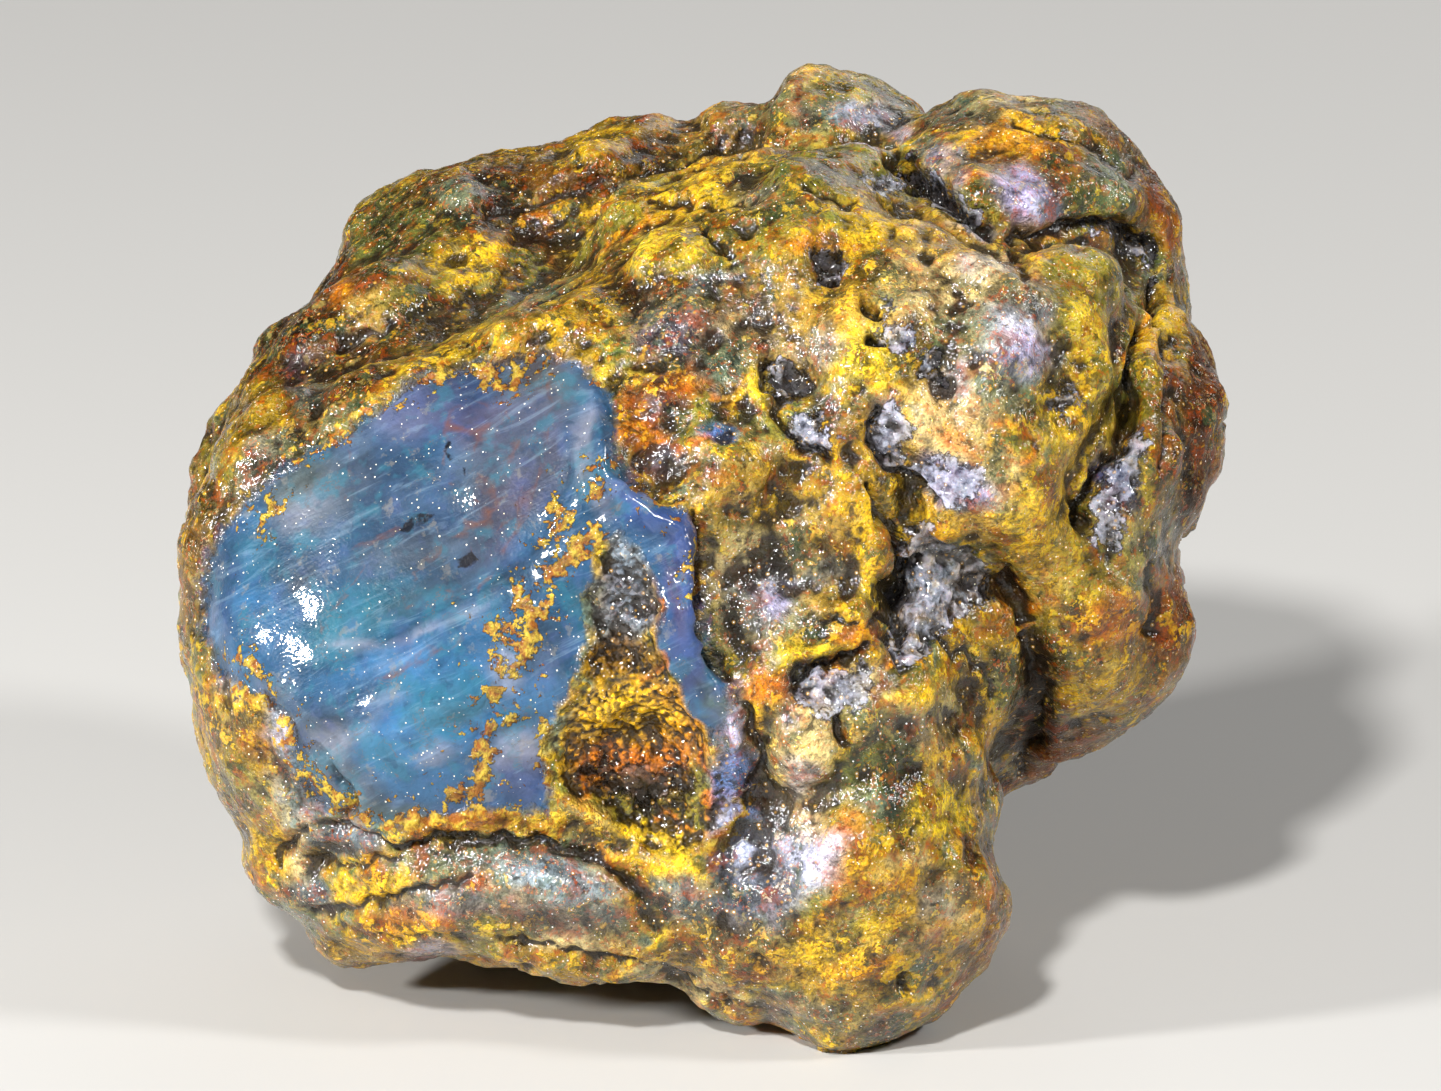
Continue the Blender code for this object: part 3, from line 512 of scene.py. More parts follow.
# Each patch: colour, centre, radii, turn in degrees and strength
# Frost patches are a pale frosted skin that also paints glints
PATCHES = [
    # the shoulder left of the window and the ridge behind it; their brown and umber patches are partly their
    # own colour and partly painted shade
    ("olive", (-23.1, 13.8), (10.0, 9.0), 40, 0.9), ("brown", (-23.1, 14.4), (10.0, 6.0), 40, 0.85),
    ("umber", (-24.7, 12.5), (8.0, 4.2), 45, 0.8), ("brown", (-8.8, 24.4), (12.0, 3.0), 14, 0.85),
    ("umber", (-11.2, 23.1), (9.0, 2.0), 14, 0.55), ("moss", (-19.1, 19.7), (3.4, 2.4), 0, 0.7),
    ("sage", (-14.5, 22.1), (1.8, 1.2), 0, 0.95), ("gold", (-15.3, 18.0), (3.4, 1.6), 22, 0.8),
    ("orange", (-22.4, 15.8), (1.0, 0.8), 0, 0.6), ("sand", (-20.0, 15.0), (3.4, 1.2), 30, 0.6),
    ("brown", (-8.8, 23.2), (6.0, 1.4), 12, 0.85), ("ochre", (-12.5, 25.0), (4.6, 1.3), 8, 0.8),
    ("gold", (-6.2, 25.5), (3.0, 1.0), 14, 0.6), ("moss", (-17.5, 16.2), (2.6, 1.2), 35, 0.6),
    ("brown", (-23.9, 12.4), (1.3, 1.2), 0, 0.7), ("mauve", (-24.9, 10.5), (1.1, 1.6), 20, 0.5),
    ("gold", (-27.4, 8.1), (2.4, 3.0), 40, 0.25), ("sage", (-24.2, 10.1), (1.0, 1.8), -30, 0.6),
    ("gold", (-17.5, 11.5), (7.0, 0.4), 27, 0.6), ("olive", (-30.3, 4.4), (2.0, 4.0), 30, 0.7),
    ("olive", (-31.6, -0.6), (2.0, 7.0), 6, 0.9), ("brown", (-30.9, 1.9), (1.4, 5.0), 10, 0.6),
    ("brown", (-28.9, 3.2), (2.0, 0.7), 42, 0.6), ("sand", (-0.6, 27.8), (3.4, 1.6), 20, 0.7),
    ("ochre", (-8.8, 13.8), (5.5, 1.5), 26, 0.75), ("sea", (-11.2, 15.6), (4.0, 0.9), 24, 0.55),
    ("brown", (-12.5, 14.2), (3.0, 0.7), 22, 0.5), ("brown", (-21.8, 11.1), (1.6, 0.8), 30, 0.5),
    # the top and the far knob; the lilac and frost at the top right also paint its sheen
    ("sand", (6.2, 29.5), (4.0, 1.6), 0, 0.7), ("cream", (5.6, 29.9), (2.2, 0.8), 0, 0.5),
    ("olive", (9.4, 28.8), (3.6, 1.6), 0, 0.7), ("sage", (4.4, 28.1), (3.4, 1.2), 10, 0.6),
    ("frost_and_glint", (10.5, 26.9), (2.6, 1.2), -8, 0.85), ("sea", (7.5, 26.8), (2.0, 1.0), 0, 0.6),
    ("cream", (19.4, 28.2), (2.6, 0.8), 0, 0.7), ("sea", (16.2, 27.4), (2.4, 0.9), 0, 0.6),
    ("orange", (19.1, 25.6), (3.6, 1.6), -8, 0.45), ("rust", (22.5, 24.4), (2.0, 1.2), -20, 0.5),
    ("lilac", (20.6, 22.2), (2.6, 1.8), -25, 0.95), ("frost_and_glint", (21.9, 21.1), (1.4, 0.7), -20, 0.9),
    ("lilac", (15.3, 24.1), (1.6, 1.4), -30, 0.6), ("moss", (24.7, 23.0), (3.4, 2.2), 0, 0.9),
    ("brown", (23.8, 24.1), (2.6, 1.4), 0, 0.6), ("umber", (25.3, 22.5), (2.2, 1.4), 0, 0.3),
    ("sage", (26.2, 23.8), (2.2, 2.0), 0, 0.6), ("amber", (29.1, 22.5), (2.0, 5.0), 10, 0.95),
    ("amber", (26.2, 26.6), (4.0, 1.6), -30, 0.8),
    # the crown, whose cream, frost and lilac patches are pale skin and also paint the whitish sheen of its
    # highlights
    ("olive", (6.2, 21.9), (9.0, 4.0), 0, 0.8), ("ochre", (10.0, 20.9), (5.0, 2.0), 0, 0.5),
    ("gold", (0.0, 22.5), (4.0, 2.2), 20, 0.6), ("sand", (2.5, 24.9), (4.5, 1.0), 12, 0.6),
    ("steel", (3.5, 22.4), (1.6, 1.0), 0, 0.5), ("yellow", (-1.8, 18.6), (2.7, 1.5), 18, 0.8),
    ("olive", (-0.6, 18.0), (2.0, 1.0), 18, 0.35), ("brown", (-2.2, 16.6), (2.2, 0.8), 8, 0.8),
    ("haze", (0.5, 16.4), (1.6, 0.9), 10, 0.85), ("smoke", (-1.9, 14.1), (3.2, 1.9), 0, 0.85),
    ("mauve", (-2.2, 13.4), (1.8, 1.0), 0, 0.5), ("slate", (-0.9, 13.1), (2.8, 1.8), 0, 0.65),
    ("steel", (2.5, 17.2), (1.2, 0.8), 0, 0.5), ("sand", (6.2, 13.8), (6.5, 3.6), 0, 0.6),
    ("smoke", (2.8, 14.4), (2.4, 1.6), 0, 0.5), ("haze", (7.5, 12.5), (2.0, 1.0), 10, 0.5),
    ("yellow", (10.5, 11.9), (2.4, 2.0), 0, 0.65), ("gold", (10.6, 20.6), (3.0, 1.6), 0, 0.55),
    ("moss", (8.2, 20.7), (0.9, 0.8), 0, 0.8), ("orange", (7.5, 19.2), (2.6, 0.7), 0, 0.7),
    ("sand", (16.2, 18.1), (4.8, 3.0), 0, 0.8), ("cream", (14.7, 16.2), (3.4, 2.4), 0, 0.65),
    ("frost_and_glint", (17.8, 18.0), (1.8, 1.2), 0, 0.5), ("sand", (15.0, 20.6), (3.0, 1.4), -25, 0.55),
    ("cream", (18.8, 16.2), (2.8, 2.2), 0, 0.8), ("frost_and_glint", (19.7, 12.8), (3.0, 2.6), 0, 0.75),
    ("lilac", (20.1, 12.4), (1.8, 1.6), 0, 0.7), ("steel", (20.2, 15.3), (1.7, 1.0), 0, 0.6),
    ("sage", (16.9, 13.4), (2.2, 2.2), 0, 0.7), ("olive", (24.4, 16.2), (3.4, 3.6), 0, 0.85),
    ("yellow", (23.8, 13.8), (2.0, 2.2), 0, 0.5), ("gold", (18.8, 18.8), (2.6, 0.8), -10, 0.5),
    ("frost_and_glint", (17.4, 19.9), (1.6, 0.5), -20, 0.7), ("cream", (15.6, 8.1), (3.0, 3.2), 0, 0.75),
    ("frost_and_glint", (15.9, 10.6), (1.0, 1.2), 0, 0.5), ("lilac", (15.9, 4.2), (2.8, 1.5), -22, 0.95),
    ("sage", (18.8, 10.0), (2.6, 1.6), 0, 0.7), ("gold", (24.1, 8.1), (2.6, 4.0), 0, 0.75),
    ("moss", (25.6, 9.4), (1.4, 2.2), 0, 0.6), ("cream", (18.8, 4.4), (1.6, 1.8), 0, 0.6),
    ("gold", (21.2, 1.9), (2.2, 2.6), 0, 0.7), ("sand", (17.8, 1.2), (1.6, 1.2), 0, 0.7),
    ("rust", (15.0, 9.4), (0.9, 1.6), 0, 0.3), ("orange", (16.2, 6.9), (2.2, 0.6), -20, 0.6),
    ("smoke", (11.6, 7.5), (1.0, 2.6), 0, 0.7),
    # between the crown and the window; its frost patch also paints glints
    ("rust", (-2.5, 10.0), (3.0, 1.3), 25, 0.7), ("haze", (-2.0, 9.1), (1.6, 0.8), 20, 0.5),
    ("orange", (-0.6, 10.6), (1.8, 1.0), 30, 0.9), ("orange", (-3.4, 7.8), (1.7, 1.4), 0, 0.9),
    ("frost_and_glint", (-2.4, 5.9), (1.4, 1.1), 0, 0.85), ("steel", (-3.8, 11.1), (2.0, 0.8), 0, 0.5),
    ("yellow", (-5.4, 11.1), (1.8, 0.6), 10, 0.8), ("sea", (1.4, 11.2), (1.6, 1.6), 0, 0.7),
    ("sage", (2.2, 12.5), (1.6, 1.0), 0, 0.6), ("yellow", (3.6, 9.7), (1.1, 2.4), 12, 0.95),
    ("moss", (4.4, 7.5), (3.0, 1.2), -20, 0.7), ("azure", (1.4, 7.4), (1.7, 0.5), 8, 0.85),
    ("sage", (0.0, 5.0), (1.2, 1.4), 0, 0.5), ("rust", (-3.1, 5.1), (1.6, 0.8), 0, 0.7),
    ("smoke", (-4.7, 5.0), (1.4, 0.7), 0, 0.6), ("brown", (1.9, 4.4), (3.0, 2.0), 0, 0.7),
    # the olive bowl and the gold wall right of it; the frost and lilac in the bowl's middle paint its shine
    ("sand", (3.8, 0.0), (4.8, 6.5), 0, 0.85), ("sage", (4.1, -1.2), (4.2, 5.6), 0, 0.45),
    ("olive", (2.5, 1.9), (2.4, 3.0), 0, 0.45), ("haze", (3.8, -3.1), (2.8, 3.0), 0, 0.5),
    ("frost_and_glint", (4.5, -2.6), (1.2, 1.8), 0, 0.6), ("cream", (4.4, 1.2), (1.8, 0.8), 15, 0.5),
    ("cream", (3.4, -5.9), (1.8, 0.8), 0, 0.45), ("cream", (2.2, -0.6), (1.0, 1.6), 0, 0.4),
    ("sea", (5.6, 0.3), (1.6, 0.7), 20, 0.5), ("ochre", (5.0, 3.8), (4.2, 2.0), 0, 0.7),
    ("gold", (6.2, 2.5), (2.6, 1.0), 10, 0.5), ("steel", (7.8, -1.6), (2.0, 1.2), 10, 0.65),
    ("sage", (6.2, -5.0), (2.2, 0.9), 8, 0.6), ("lilac", (4.7, -3.0), (1.3, 1.6), 0, 0.7),
    ("ochre", (11.2, -0.6), (1.4, 4.6), -10, 0.9), ("olive", (11.5, -0.6), (1.0, 4.2), -10, 0.5),
    ("yellow", (10.5, -3.1), (1.2, 1.4), 0, 0.6), ("gold", (10.3, 1.9), (0.7, 2.8), -18, 0.7),
    ("orange", (9.4, -5.0), (1.4, 0.8), 10, 0.8), ("yellow", (7.2, -6.4), (2.2, 0.6), 14, 0.9),
    ("rust", (10.5, -5.6), (1.2, 0.7), 20, 0.8), ("orange", (4.4, -8.8), (1.6, 1.6), 0, 0.85),
    ("gold", (4.1, -10.1), (1.2, 0.8), 0, 0.7), ("umber", (9.1, -8.8), (1.0, 0.8), 0, 0.6),
    # the foot; its frost patches paint the white glints on it
    ("cream", (6.5, -12.4), (2.2, 3.6), -12, 0.9), ("sand", (6.2, -13.4), (1.2, 1.8), -12, 0.4),
    ("cream", (10.6, -8.8), (2.0, 1.6), 10, 0.8), ("gold", (14.1, -9.4), (3.0, 1.4), 0, 0.8),
    ("sage", (11.9, -10.9), (3.2, 1.6), 0, 0.7), ("sand", (9.4, -11.6), (1.4, 1.0), 0, 0.6),
    ("slate", (13.2, -11.6), (1.4, 1.8), -20, 0.6), ("sea", (15.6, -10.0), (1.4, 1.6), 0, 0.5),
    ("sand", (15.3, -12.8), (1.4, 2.2), 0, 0.75), ("moss", (10.6, -14.1), (3.6, 2.2), 10, 0.85),
    ("sea", (11.6, -15.6), (2.2, 1.0), 15, 0.6), ("yellow", (14.1, -16.6), (3.2, 1.5), 25, 0.85),
    ("rust", (8.4, -18.8), (2.6, 2.4), 0, 0.7), ("ochre", (11.6, -20.0), (3.4, 2.8), 0, 0.7),
    ("sand", (12.8, -20.6), (2.2, 1.6), 0, 0.5), ("cream", (13.4, -19.4), (1.2, 0.8), 20, 0.5),
    ("umber", (14.1, -21.2), (0.6, 0.5), 0, 0.6), ("umber", (10.6, -22.2), (0.5, 0.5), 0, 0.5),
    ("yellow", (11.2, -23.4), (1.6, 0.8), 0, 0.5), ("frost_and_glint", (5.3, -19.2), (3.8, 2.6), 10, 0.9),
    ("frost_and_glint", (4.1, -21.6), (3.6, 2.0), 35, 0.9), ("frost_and_glint", (6.2, -14.1), (1.0, 1.4), -12, 0.5),
    ("cream", (7.2, -16.6), (1.4, 1.4), 0, 0.6), ("rust", (11.5, -21.1), (2.6, 0.7), 0, 0.6),
    ("sand", (15.6, -23.1), (2.0, 3.6), -8, 0.85), ("cream", (16.1, -21.9), (1.0, 1.6), -8, 0.6),
    ("umber", (17.0, -18.9), (0.7, 1.0), 0, 0.7), ("umber", (15.0, -20.1), (0.9, 0.6), 20, 0.6),
    ("umber", (16.8, -24.7), (0.7, 0.9), 0, 0.6), ("smoke", (14.1, -24.4), (1.0, 0.7), 0, 0.6),
    ("steel", (14.8, -21.9), (1.0, 1.2), 0, 0.6), ("sand", (4.4, -25.0), (4.6, 1.6), -18, 0.75),
    ("gold", (9.1, -25.3), (4.2, 1.8), -8, 0.85), ("ochre", (10.0, -27.2), (4.0, 1.2), 0, 0.7),
    ("orange", (10.6, -26.1), (2.4, 0.5), 15, 0.7), ("sage", (10.0, -29.5), (3.6, 1.0), 0, 0.45),
    ("sand", (9.4, -28.4), (4.0, 1.0), 0, 0.5), ("steel", (6.2, -28.8), (3.0, 0.9), -14, 0.4),
    ("steel", (2.8, -19.7), (2.6, 3.6), 0, 0.9), ("frost_and_glint", (3.0, -18.4), (2.2, 3.0), 0, 0.85),
    ("slate", (2.2, -22.8), (2.0, 1.8), 0, 0.5), ("dusk", (2.4, -15.0), (1.8, 4.2), 0, 0.9),
    ("mauve", (2.0, -8.8), (1.0, 0.8), 0, 0.7), ("lilac", (1.9, -11.6), (1.2, 2.4), 0, 0.6),
    ("frost_and_glint", (2.6, -10.6), (0.6, 1.2), 0, 0.5), ("azure", (2.2, -13.4), (1.0, 1.6), 0, 0.4),
    ("cream", (-0.6, -27.2), (4.0, 0.7), -14, 0.6), ("amber", (18.1, -24.4), (0.9, 5.0), -6, 0.8),
    ("sea", (14.1, -25.9), (0.7, 0.6), 0, 0.8), ("sand", (12.8, -24.4), (3.0, 1.0), 15, 0.5),
    # the band under the window
    ("sage", (-12.5, -19.5), (6.5, 1.6), 2, 0.9), ("haze", (-8.8, -20.6), (4.2, 1.8), -14, 0.85),
    ("smoke", (-15.6, -21.9), (4.4, 1.3), 4, 0.8), ("smoke", (-8.8, -23.0), (4.6, 1.2), -6, 0.7),
    ("cream", (-8.8, -24.6), (5.0, 0.8), -6, 0.9), ("sand", (-2.5, -25.5), (4.4, 0.9), -12, 0.85),
    ("yellow", (-12.5, -23.9), (1.6, 0.8), -20, 0.8),
    ("rust", (-14.2, -20.6), (1.4, 0.5), 12, 0.95), ("orange", (-13.9, -20.4), (0.9, 0.4), 10, 0.8),
    ("gold", (-20.3, -21.2), (2.4, 0.8), 12, 0.85),
    ("orange", (-18.1, -23.4), (2.4, 1.0), -10, 0.7),
    ("gold", (-16.9, -24.4), (2.8, 0.9), -14, 0.7),
    ("steel", (-24.4, -21.4), (1.8, 1.0), -25, 0.85),
    ("cream", (-25.1, -19.2), (1.3, 1.6), 20, 0.85), ("steel", (-21.9, -18.2), (3.0, 0.9), -8, 0.9),
    ("sage", (-25.0, -23.1), (2.4, 1.4), -35, 0.7), ("sand", (-21.6, -25.1), (3.0, 0.8), -8, 0.7),
    ("lilac", (-16.9, -25.2), (1.8, 0.7), 0, 0.6), ("ochre", (-8.8, -25.9), (5.0, 0.7), 0, 0.8),
    ("gold", (-6.2, -17.2), (4.0, 0.8), -6, 0.85), ("orange", (-13.8, -17.4), (4.6, 0.6), 2, 0.8),
    ("gold", (-2.8, -19.5), (2.4, 0.8), -10, 0.9), ("sage", (-6.2, -18.0), (2.8, 0.6), -8, 0.5),
    ("steel", (-1.2, -21.9), (2.2, 1.6), -20, 0.7), ("cream", (-7.2, -16.4), (2.0, 0.7), -10, 0.4),
    # the lower left
    ("gold", (-28.4, -10.3), (2.4, 1.8), -30, 0.6), ("haze", (-26.9, -9.4), (2.6, 1.0), -35, 0.6),
    ("dusk", (-29.2, -8.1), (1.2, 1.4), 0, 0.5), ("steel", (-25.6, -13.8), (1.8, 3.0), -35, 0.6),
    ("haze", (-25.0, -12.2), (1.3, 3.4), 40, 0.75), ("frost_and_glint", (-25.8, -11.6), (0.8, 1.8), 40, 0.4),
    ("steel", (-27.6, 5.5), (3.4, 1.0), 46, 0.55), ("sage", (-23.1, 7.8), (5.0, 0.8), 30, 0.5),
    ("brown", (-32.1, -0.6), (1.6, 6.0), 4, 0.8), ("ochre", (-29.1, -14.4), (3.0, 5.0), 20, 0.9),
    ("olive", (-29.2, -13.8), (2.0, 4.0), 15, 0.5), ("smoke", (-29.7, -15.6), (1.4, 1.6), 0, 0.5),
    ("olive", (-28.9, -15.0), (1.2, 1.6), 0, 0.7), ("orange", (-27.4, -12.0), (1.4, 1.0), 0, 0.5),
    ("haze", (-24.2, -15.0), (2.2, 2.6), -40, 0.85), ("frost_and_glint", (-23.4, -15.3), (1.2, 1.4), 0, 0.6),
    ("gold", (-26.9, -18.1), (1.2, 3.0), 25, 0.7), ("sage", (-27.5, -16.2), (1.0, 1.6), 20, 0.5),
    ("cream", (-28.1, -7.0), (0.9, 0.8), 0, 0.5), ("sand", (-30.3, -11.2), (1.2, 2.0), 15, 0.6),
    # the right side; its umber, brown and amber patches are partly its own colour and partly painted shade,
    # darker towards the right edge and below
    ("ochre", (26.2, -3.1), (5.5, 5.5), 0, 0.8), ("brown", (26.9, -5.0), (4.0, 3.4), 0, 0.5),
    ("umber", (24.1, -8.1), (2.4, 1.4), 30, 0.5), ("umber", (23.1, -3.1), (1.6, 0.8), 20, 0.5),
    ("umber", (25.3, -1.6), (1.2, 0.7), -20, 0.5), ("umber", (24.7, -6.2), (1.4, 0.8), 0, 0.5),
    ("yellow", (24.1, -2.5), (1.2, 0.8), 0, 0.6), ("yellow", (26.9, -0.6), (1.0, 0.9), 0, 0.6),
    ("sage", (28.1, -0.6), (2.6, 3.6), 0, 0.6), ("olive", (24.4, -0.6), (3.0, 2.2), 0, 0.5),
    # umber and brown in the fold right of the foot paint the shade that fills it
    ("orange", (26.2, -4.4), (2.8, 1.6), 0, 0.6), ("umber", (21.8, -7.4), (1.4, 3.4), 0, 0.7),
    ("gold", (25.0, -8.8), (3.0, 2.0), 30, 0.6), ("umber", (20.6, -9.4), (1.8, 5.0), 8, 1.0),
    ("umber", (21.2, -11.2), (1.4, 3.0), 8, 0.8), ("amber", (22.5, -13.1), (4.6, 1.6), 35, 0.85),
    ("brown", (19.4, -6.2), (1.4, 3.0), 10, 0.7), ("amber", (31.6, 8.1), (1.6, 9.0), -2, 1.0),
    ("umber", (31.2, 6.9), (1.2, 8.0), 0, 0.6), ("amber", (30.6, -3.1), (2.0, 6.0), -22, 0.95),
    ("brown", (28.8, 6.9), (1.2, 6.0), 0, 0.6), ("gold", (28.4, 13.8), (1.2, 2.6), 0, 0.6),
    ("sage", (28.1, 16.2), (1.0, 1.8), 0, 0.6), ("yellow", (27.5, 3.1), (1.0, 1.8), 0, 0.7),
    ("navy", (26.1, 4.4), (1.0, 2.8), 28, 0.9), ("ochre", (16.2, -3.8), (2.4, 1.0), 0, 0.5),
    ("yellow", (27.1, 8.4), (0.5, 0.7), 0, 0.9), ("ochre", (18.1, -6.2), (2.4, 1.6), 0, 0.7),
    ("moss", (19.1, -8.1), (1.4, 2.4), 0, 0.6),
    # the keyhole pit
    ("smoke", (-4.9, -2.5), (1.9, 4.2), 0, 1.0), ("haze", (-4.5, -0.6), (1.4, 1.8), 0, 0.7),
    ("brown", (-4.7, -6.9), (2.6, 1.4), 0, 0.8), ("haze", (-5.1, -4.4), (1.0, 1.4), 0, 0.4),
    ("orange", (-3.8, -11.2), (4.4, 3.0), 0, 0.75), ("gold", (-4.7, -10.6), (3.4, 2.0), 0, 0.8),
    ("ochre", (-2.5, -12.2), (2.0, 1.2), 0, 0.5), ("rust", (-3.8, -13.1), (4.0, 1.6), 0, 0.6),
    ("gold", (-3.1, -18.0), (3.6, 0.9), -8, 0.8), ("umber", (-3.1, -15.3), (3.0, 1.1), 0, 0.8),
    ("orange", (-6.2, -13.8), (1.2, 1.6), 0, 0.6),
]
band = step_up(-0.3, 0.5, into_loop(ragged, BAND)) * facing
rough = (1.0 - 0.9 * bare) * (1.0 - 0.5 * gritty) * (1.0 - 0.75 * band)
for size, height, shift in RIND_LUMPS:
    raised += rough * height * cloud(points, size, 3, shift)
for size, height in RIND_CRUMBS:
    patchy = step_up(-0.35, 0.45, cloud(points, 5.0, 2, size))
    raised += rough * height * patchy * (crumbs(points, size) - 0.7)
nearest = np.array([noise.voronoi(place)[0][0] for place in (points / PIT_SPACING + 7.7).tolist()])
pitted = step_up(-0.1, 0.5, cloud(points, 6.0, 2, 9.4)) * (1.0 - step_up(0.10, 0.34, nearest))
raised -= rough * PIT_DEPTH * pitted

flow_along = np.array([math.cos(FLOW_TURN), math.sin(FLOW_TURN)])
flow_across = np.array([-math.sin(FLOW_TURN), math.cos(FLOW_TURN)])
flow_places = np.stack([spots @ flow_along / FLOW_LENGTH, spots @ flow_across / FLOW_WIDTH,
                        points @ FACE_OUT / FLOW_LENGTH], axis=1)
shoulder = step_up(-2.0, 5.0, spots[:, 1]) * (1.0 - step_up(-14.0, 2.0, spots[:, 0] - 0.5 * spots[:, 1]))
raised += rough * shoulder * FLOW_HEIGHT * cloud(flow_places, 1.0)

pick = (cloud(points, 9.0, 3, 6.6) * 1.6 + 0.25 * cloud(points, 2.4, 3, 2.2) + 0.5).clip(0.0, 0.999)
pick *= len(GROUND_STAINS) - 1
blend = step_up(0.25, 0.75, pick % 1.0)[:, None]
stains = np.array([linear(RIND_COLOURS[name]) for name in GROUND_STAINS])
rind = stains[pick.astype(int)] * (1.0 - blend) + stains[pick.astype(int) + 1] * blend
soft_spots += wandering(points, 0.7, 2.2, 3.0) + wandering(points, 0.3, 0.7, 6.0)
rind = painted(rind, soft_spots, PATCHES, RIND_COLOURS)
fringe = 0.35 * cloud(points, 3.0, 3, 8.8)
for name, centre, radius, strength in FAR_STAINS:
    reach = np.linalg.norm(points - np.array(centre), axis=1) / radius + fringe
    share = strength * (1.0 - facing) * (1.0 - step_up(0.4, 1.2, reach))
    rind += (linear(RIND_COLOURS[name]) - rind) * share[:, None]
keep("rind_colour", rind)


# ------------------------------------------------------------------------ Dark sandy seams
# Sand and black plant matter were shut in between two flows of resin: rough, dark grey to
# grey-violet, and broken into facets that glitter.

DARK_PATCHES = [
    [(11.1, 8.9), (12.1, 9.2), (13.0, 7.8), (12.5, 6.1), (13.2, 5.0), (12.5, 4.6), (11.2, 5.6),
     (10.8, 7.4)],
    [(12.9, 5.5), (14.1, 5.9), (16.2, 5.2), (17.9, 4.5), (17.4, 3.6), (15.6, 2.9), (14.4, 3.2),
     (13.4, 4.2)],
    [(12.8, 0.6), (14.4, 1.9), (15.6, 0.3), (18.2, -1.0), (18.2, -2.5), (17.2, -3.8),
     (15.3, -4.5), (14.9, -6.2), (12.8, -7.4), (11.6, -5.6), (12.5, -3.8)],
    [(5.6, -8.4), (6.6, -7.6), (8.8, -7.4), (10.1, -6.9), (10.8, -8.1), (10.0, -9.4),
     (8.9, -10.5), (7.0, -10.2), (5.9, -9.6)],
    [(7.0, 19.0), (8.6, 18.6), (9.1, 17.8), (8.6, 16.8), (7.9, 16.5), (7.5, 17.6)],
    [(10.9, 13.5), (12.1, 14.1), (13.4, 13.9), (13.2, 13.0), (12.4, 12.1), (11.5, 12.8)],
    [(10.9, 15.8), (12.2, 15.6), (12.1, 14.6), (11.2, 14.8)],
    [(14.4, 12.9), (15.1, 12.2), (15.3, 11.2), (14.9, 10.4), (14.1, 11.0)],
    [(4.2, 11.8), (5.1, 12.0), (6.2, 11.2), (7.0, 10.1), (6.2, 9.9), (5.6, 9.1), (5.0, 9.4),
     (4.4, 10.4)],
    [(5.1, 7.9), (6.4, 8.5), (7.6, 8.2), (8.4, 7.1), (7.9, 6.2), (6.6, 6.5)],
    [(24.4, 3.0), (26.1, 5.8), (27.2, 7.5), (27.9, 6.8), (27.5, 5.0), (26.6, 3.4), (26.1, 1.2),
     (25.5, 0.1), (24.6, 0.6)],
    [(22.2, 9.6), (23.4, 9.9), (23.5, 9.0), (22.5, 8.5)],
    [(12.2, 24.6), (14.4, 23.4), (17.0, 21.5), (18.6, 20.0), (17.8, 19.8), (15.3, 21.4),
     (13.2, 23.1)],
    [(23.8, 20.4), (26.2, 20.2), (28.6, 18.8), (29.1, 17.1), (28.0, 18.0), (25.6, 19.5)],
    [(10.3, 23.2), (11.9, 23.6), (12.8, 22.8), (11.9, 22.1), (10.6, 22.4)],
]
SEAM_DEPTH = 0.16  # mm
FACET_SIZE, FACET_HEIGHT = 0.9, 0.22  # of the broken face of a seam, mm


def facets(places, size, shift=0.0):
    """A surface broken into small flat faces, each tipped its own way, about -0.5 to 0.5."""
    heights = []
    for place in (places / size + shift).tolist():
        centre = noise.voronoi(place)[1][0]
        heights.append(noise.cell_vector(centre * 7.0).dot(Vector(place) - centre))
    return np.array(heights)


torn = ragged + wandering(points, 0.6, 1.5, 5.0) + wandering(points, 0.3, 0.6, 9.0)
seam = np.full(len(points), -OUTSIDE)
for loop in DARK_PATCHES:
    seam = np.maximum(seam, into_loop(torn, loop))
seam = np.where(facing > 0.0, seam, -OUTSIDE)
keep("seam", seam.clip(-OUTSIDE, OUTSIDE))
broken = step_up(-0.4, 0.5, seam)
raised += broken * (FACET_HEIGHT * facets(points, FACET_SIZE, 6.0) - SEAM_DEPTH)


# ------------------------------------------------------------------------ Joints, cracks, knobs
# The joints where one flow of resin lapped over another, shrinkage cracks, holes that worms and
# grit left, and knobs where drips set.

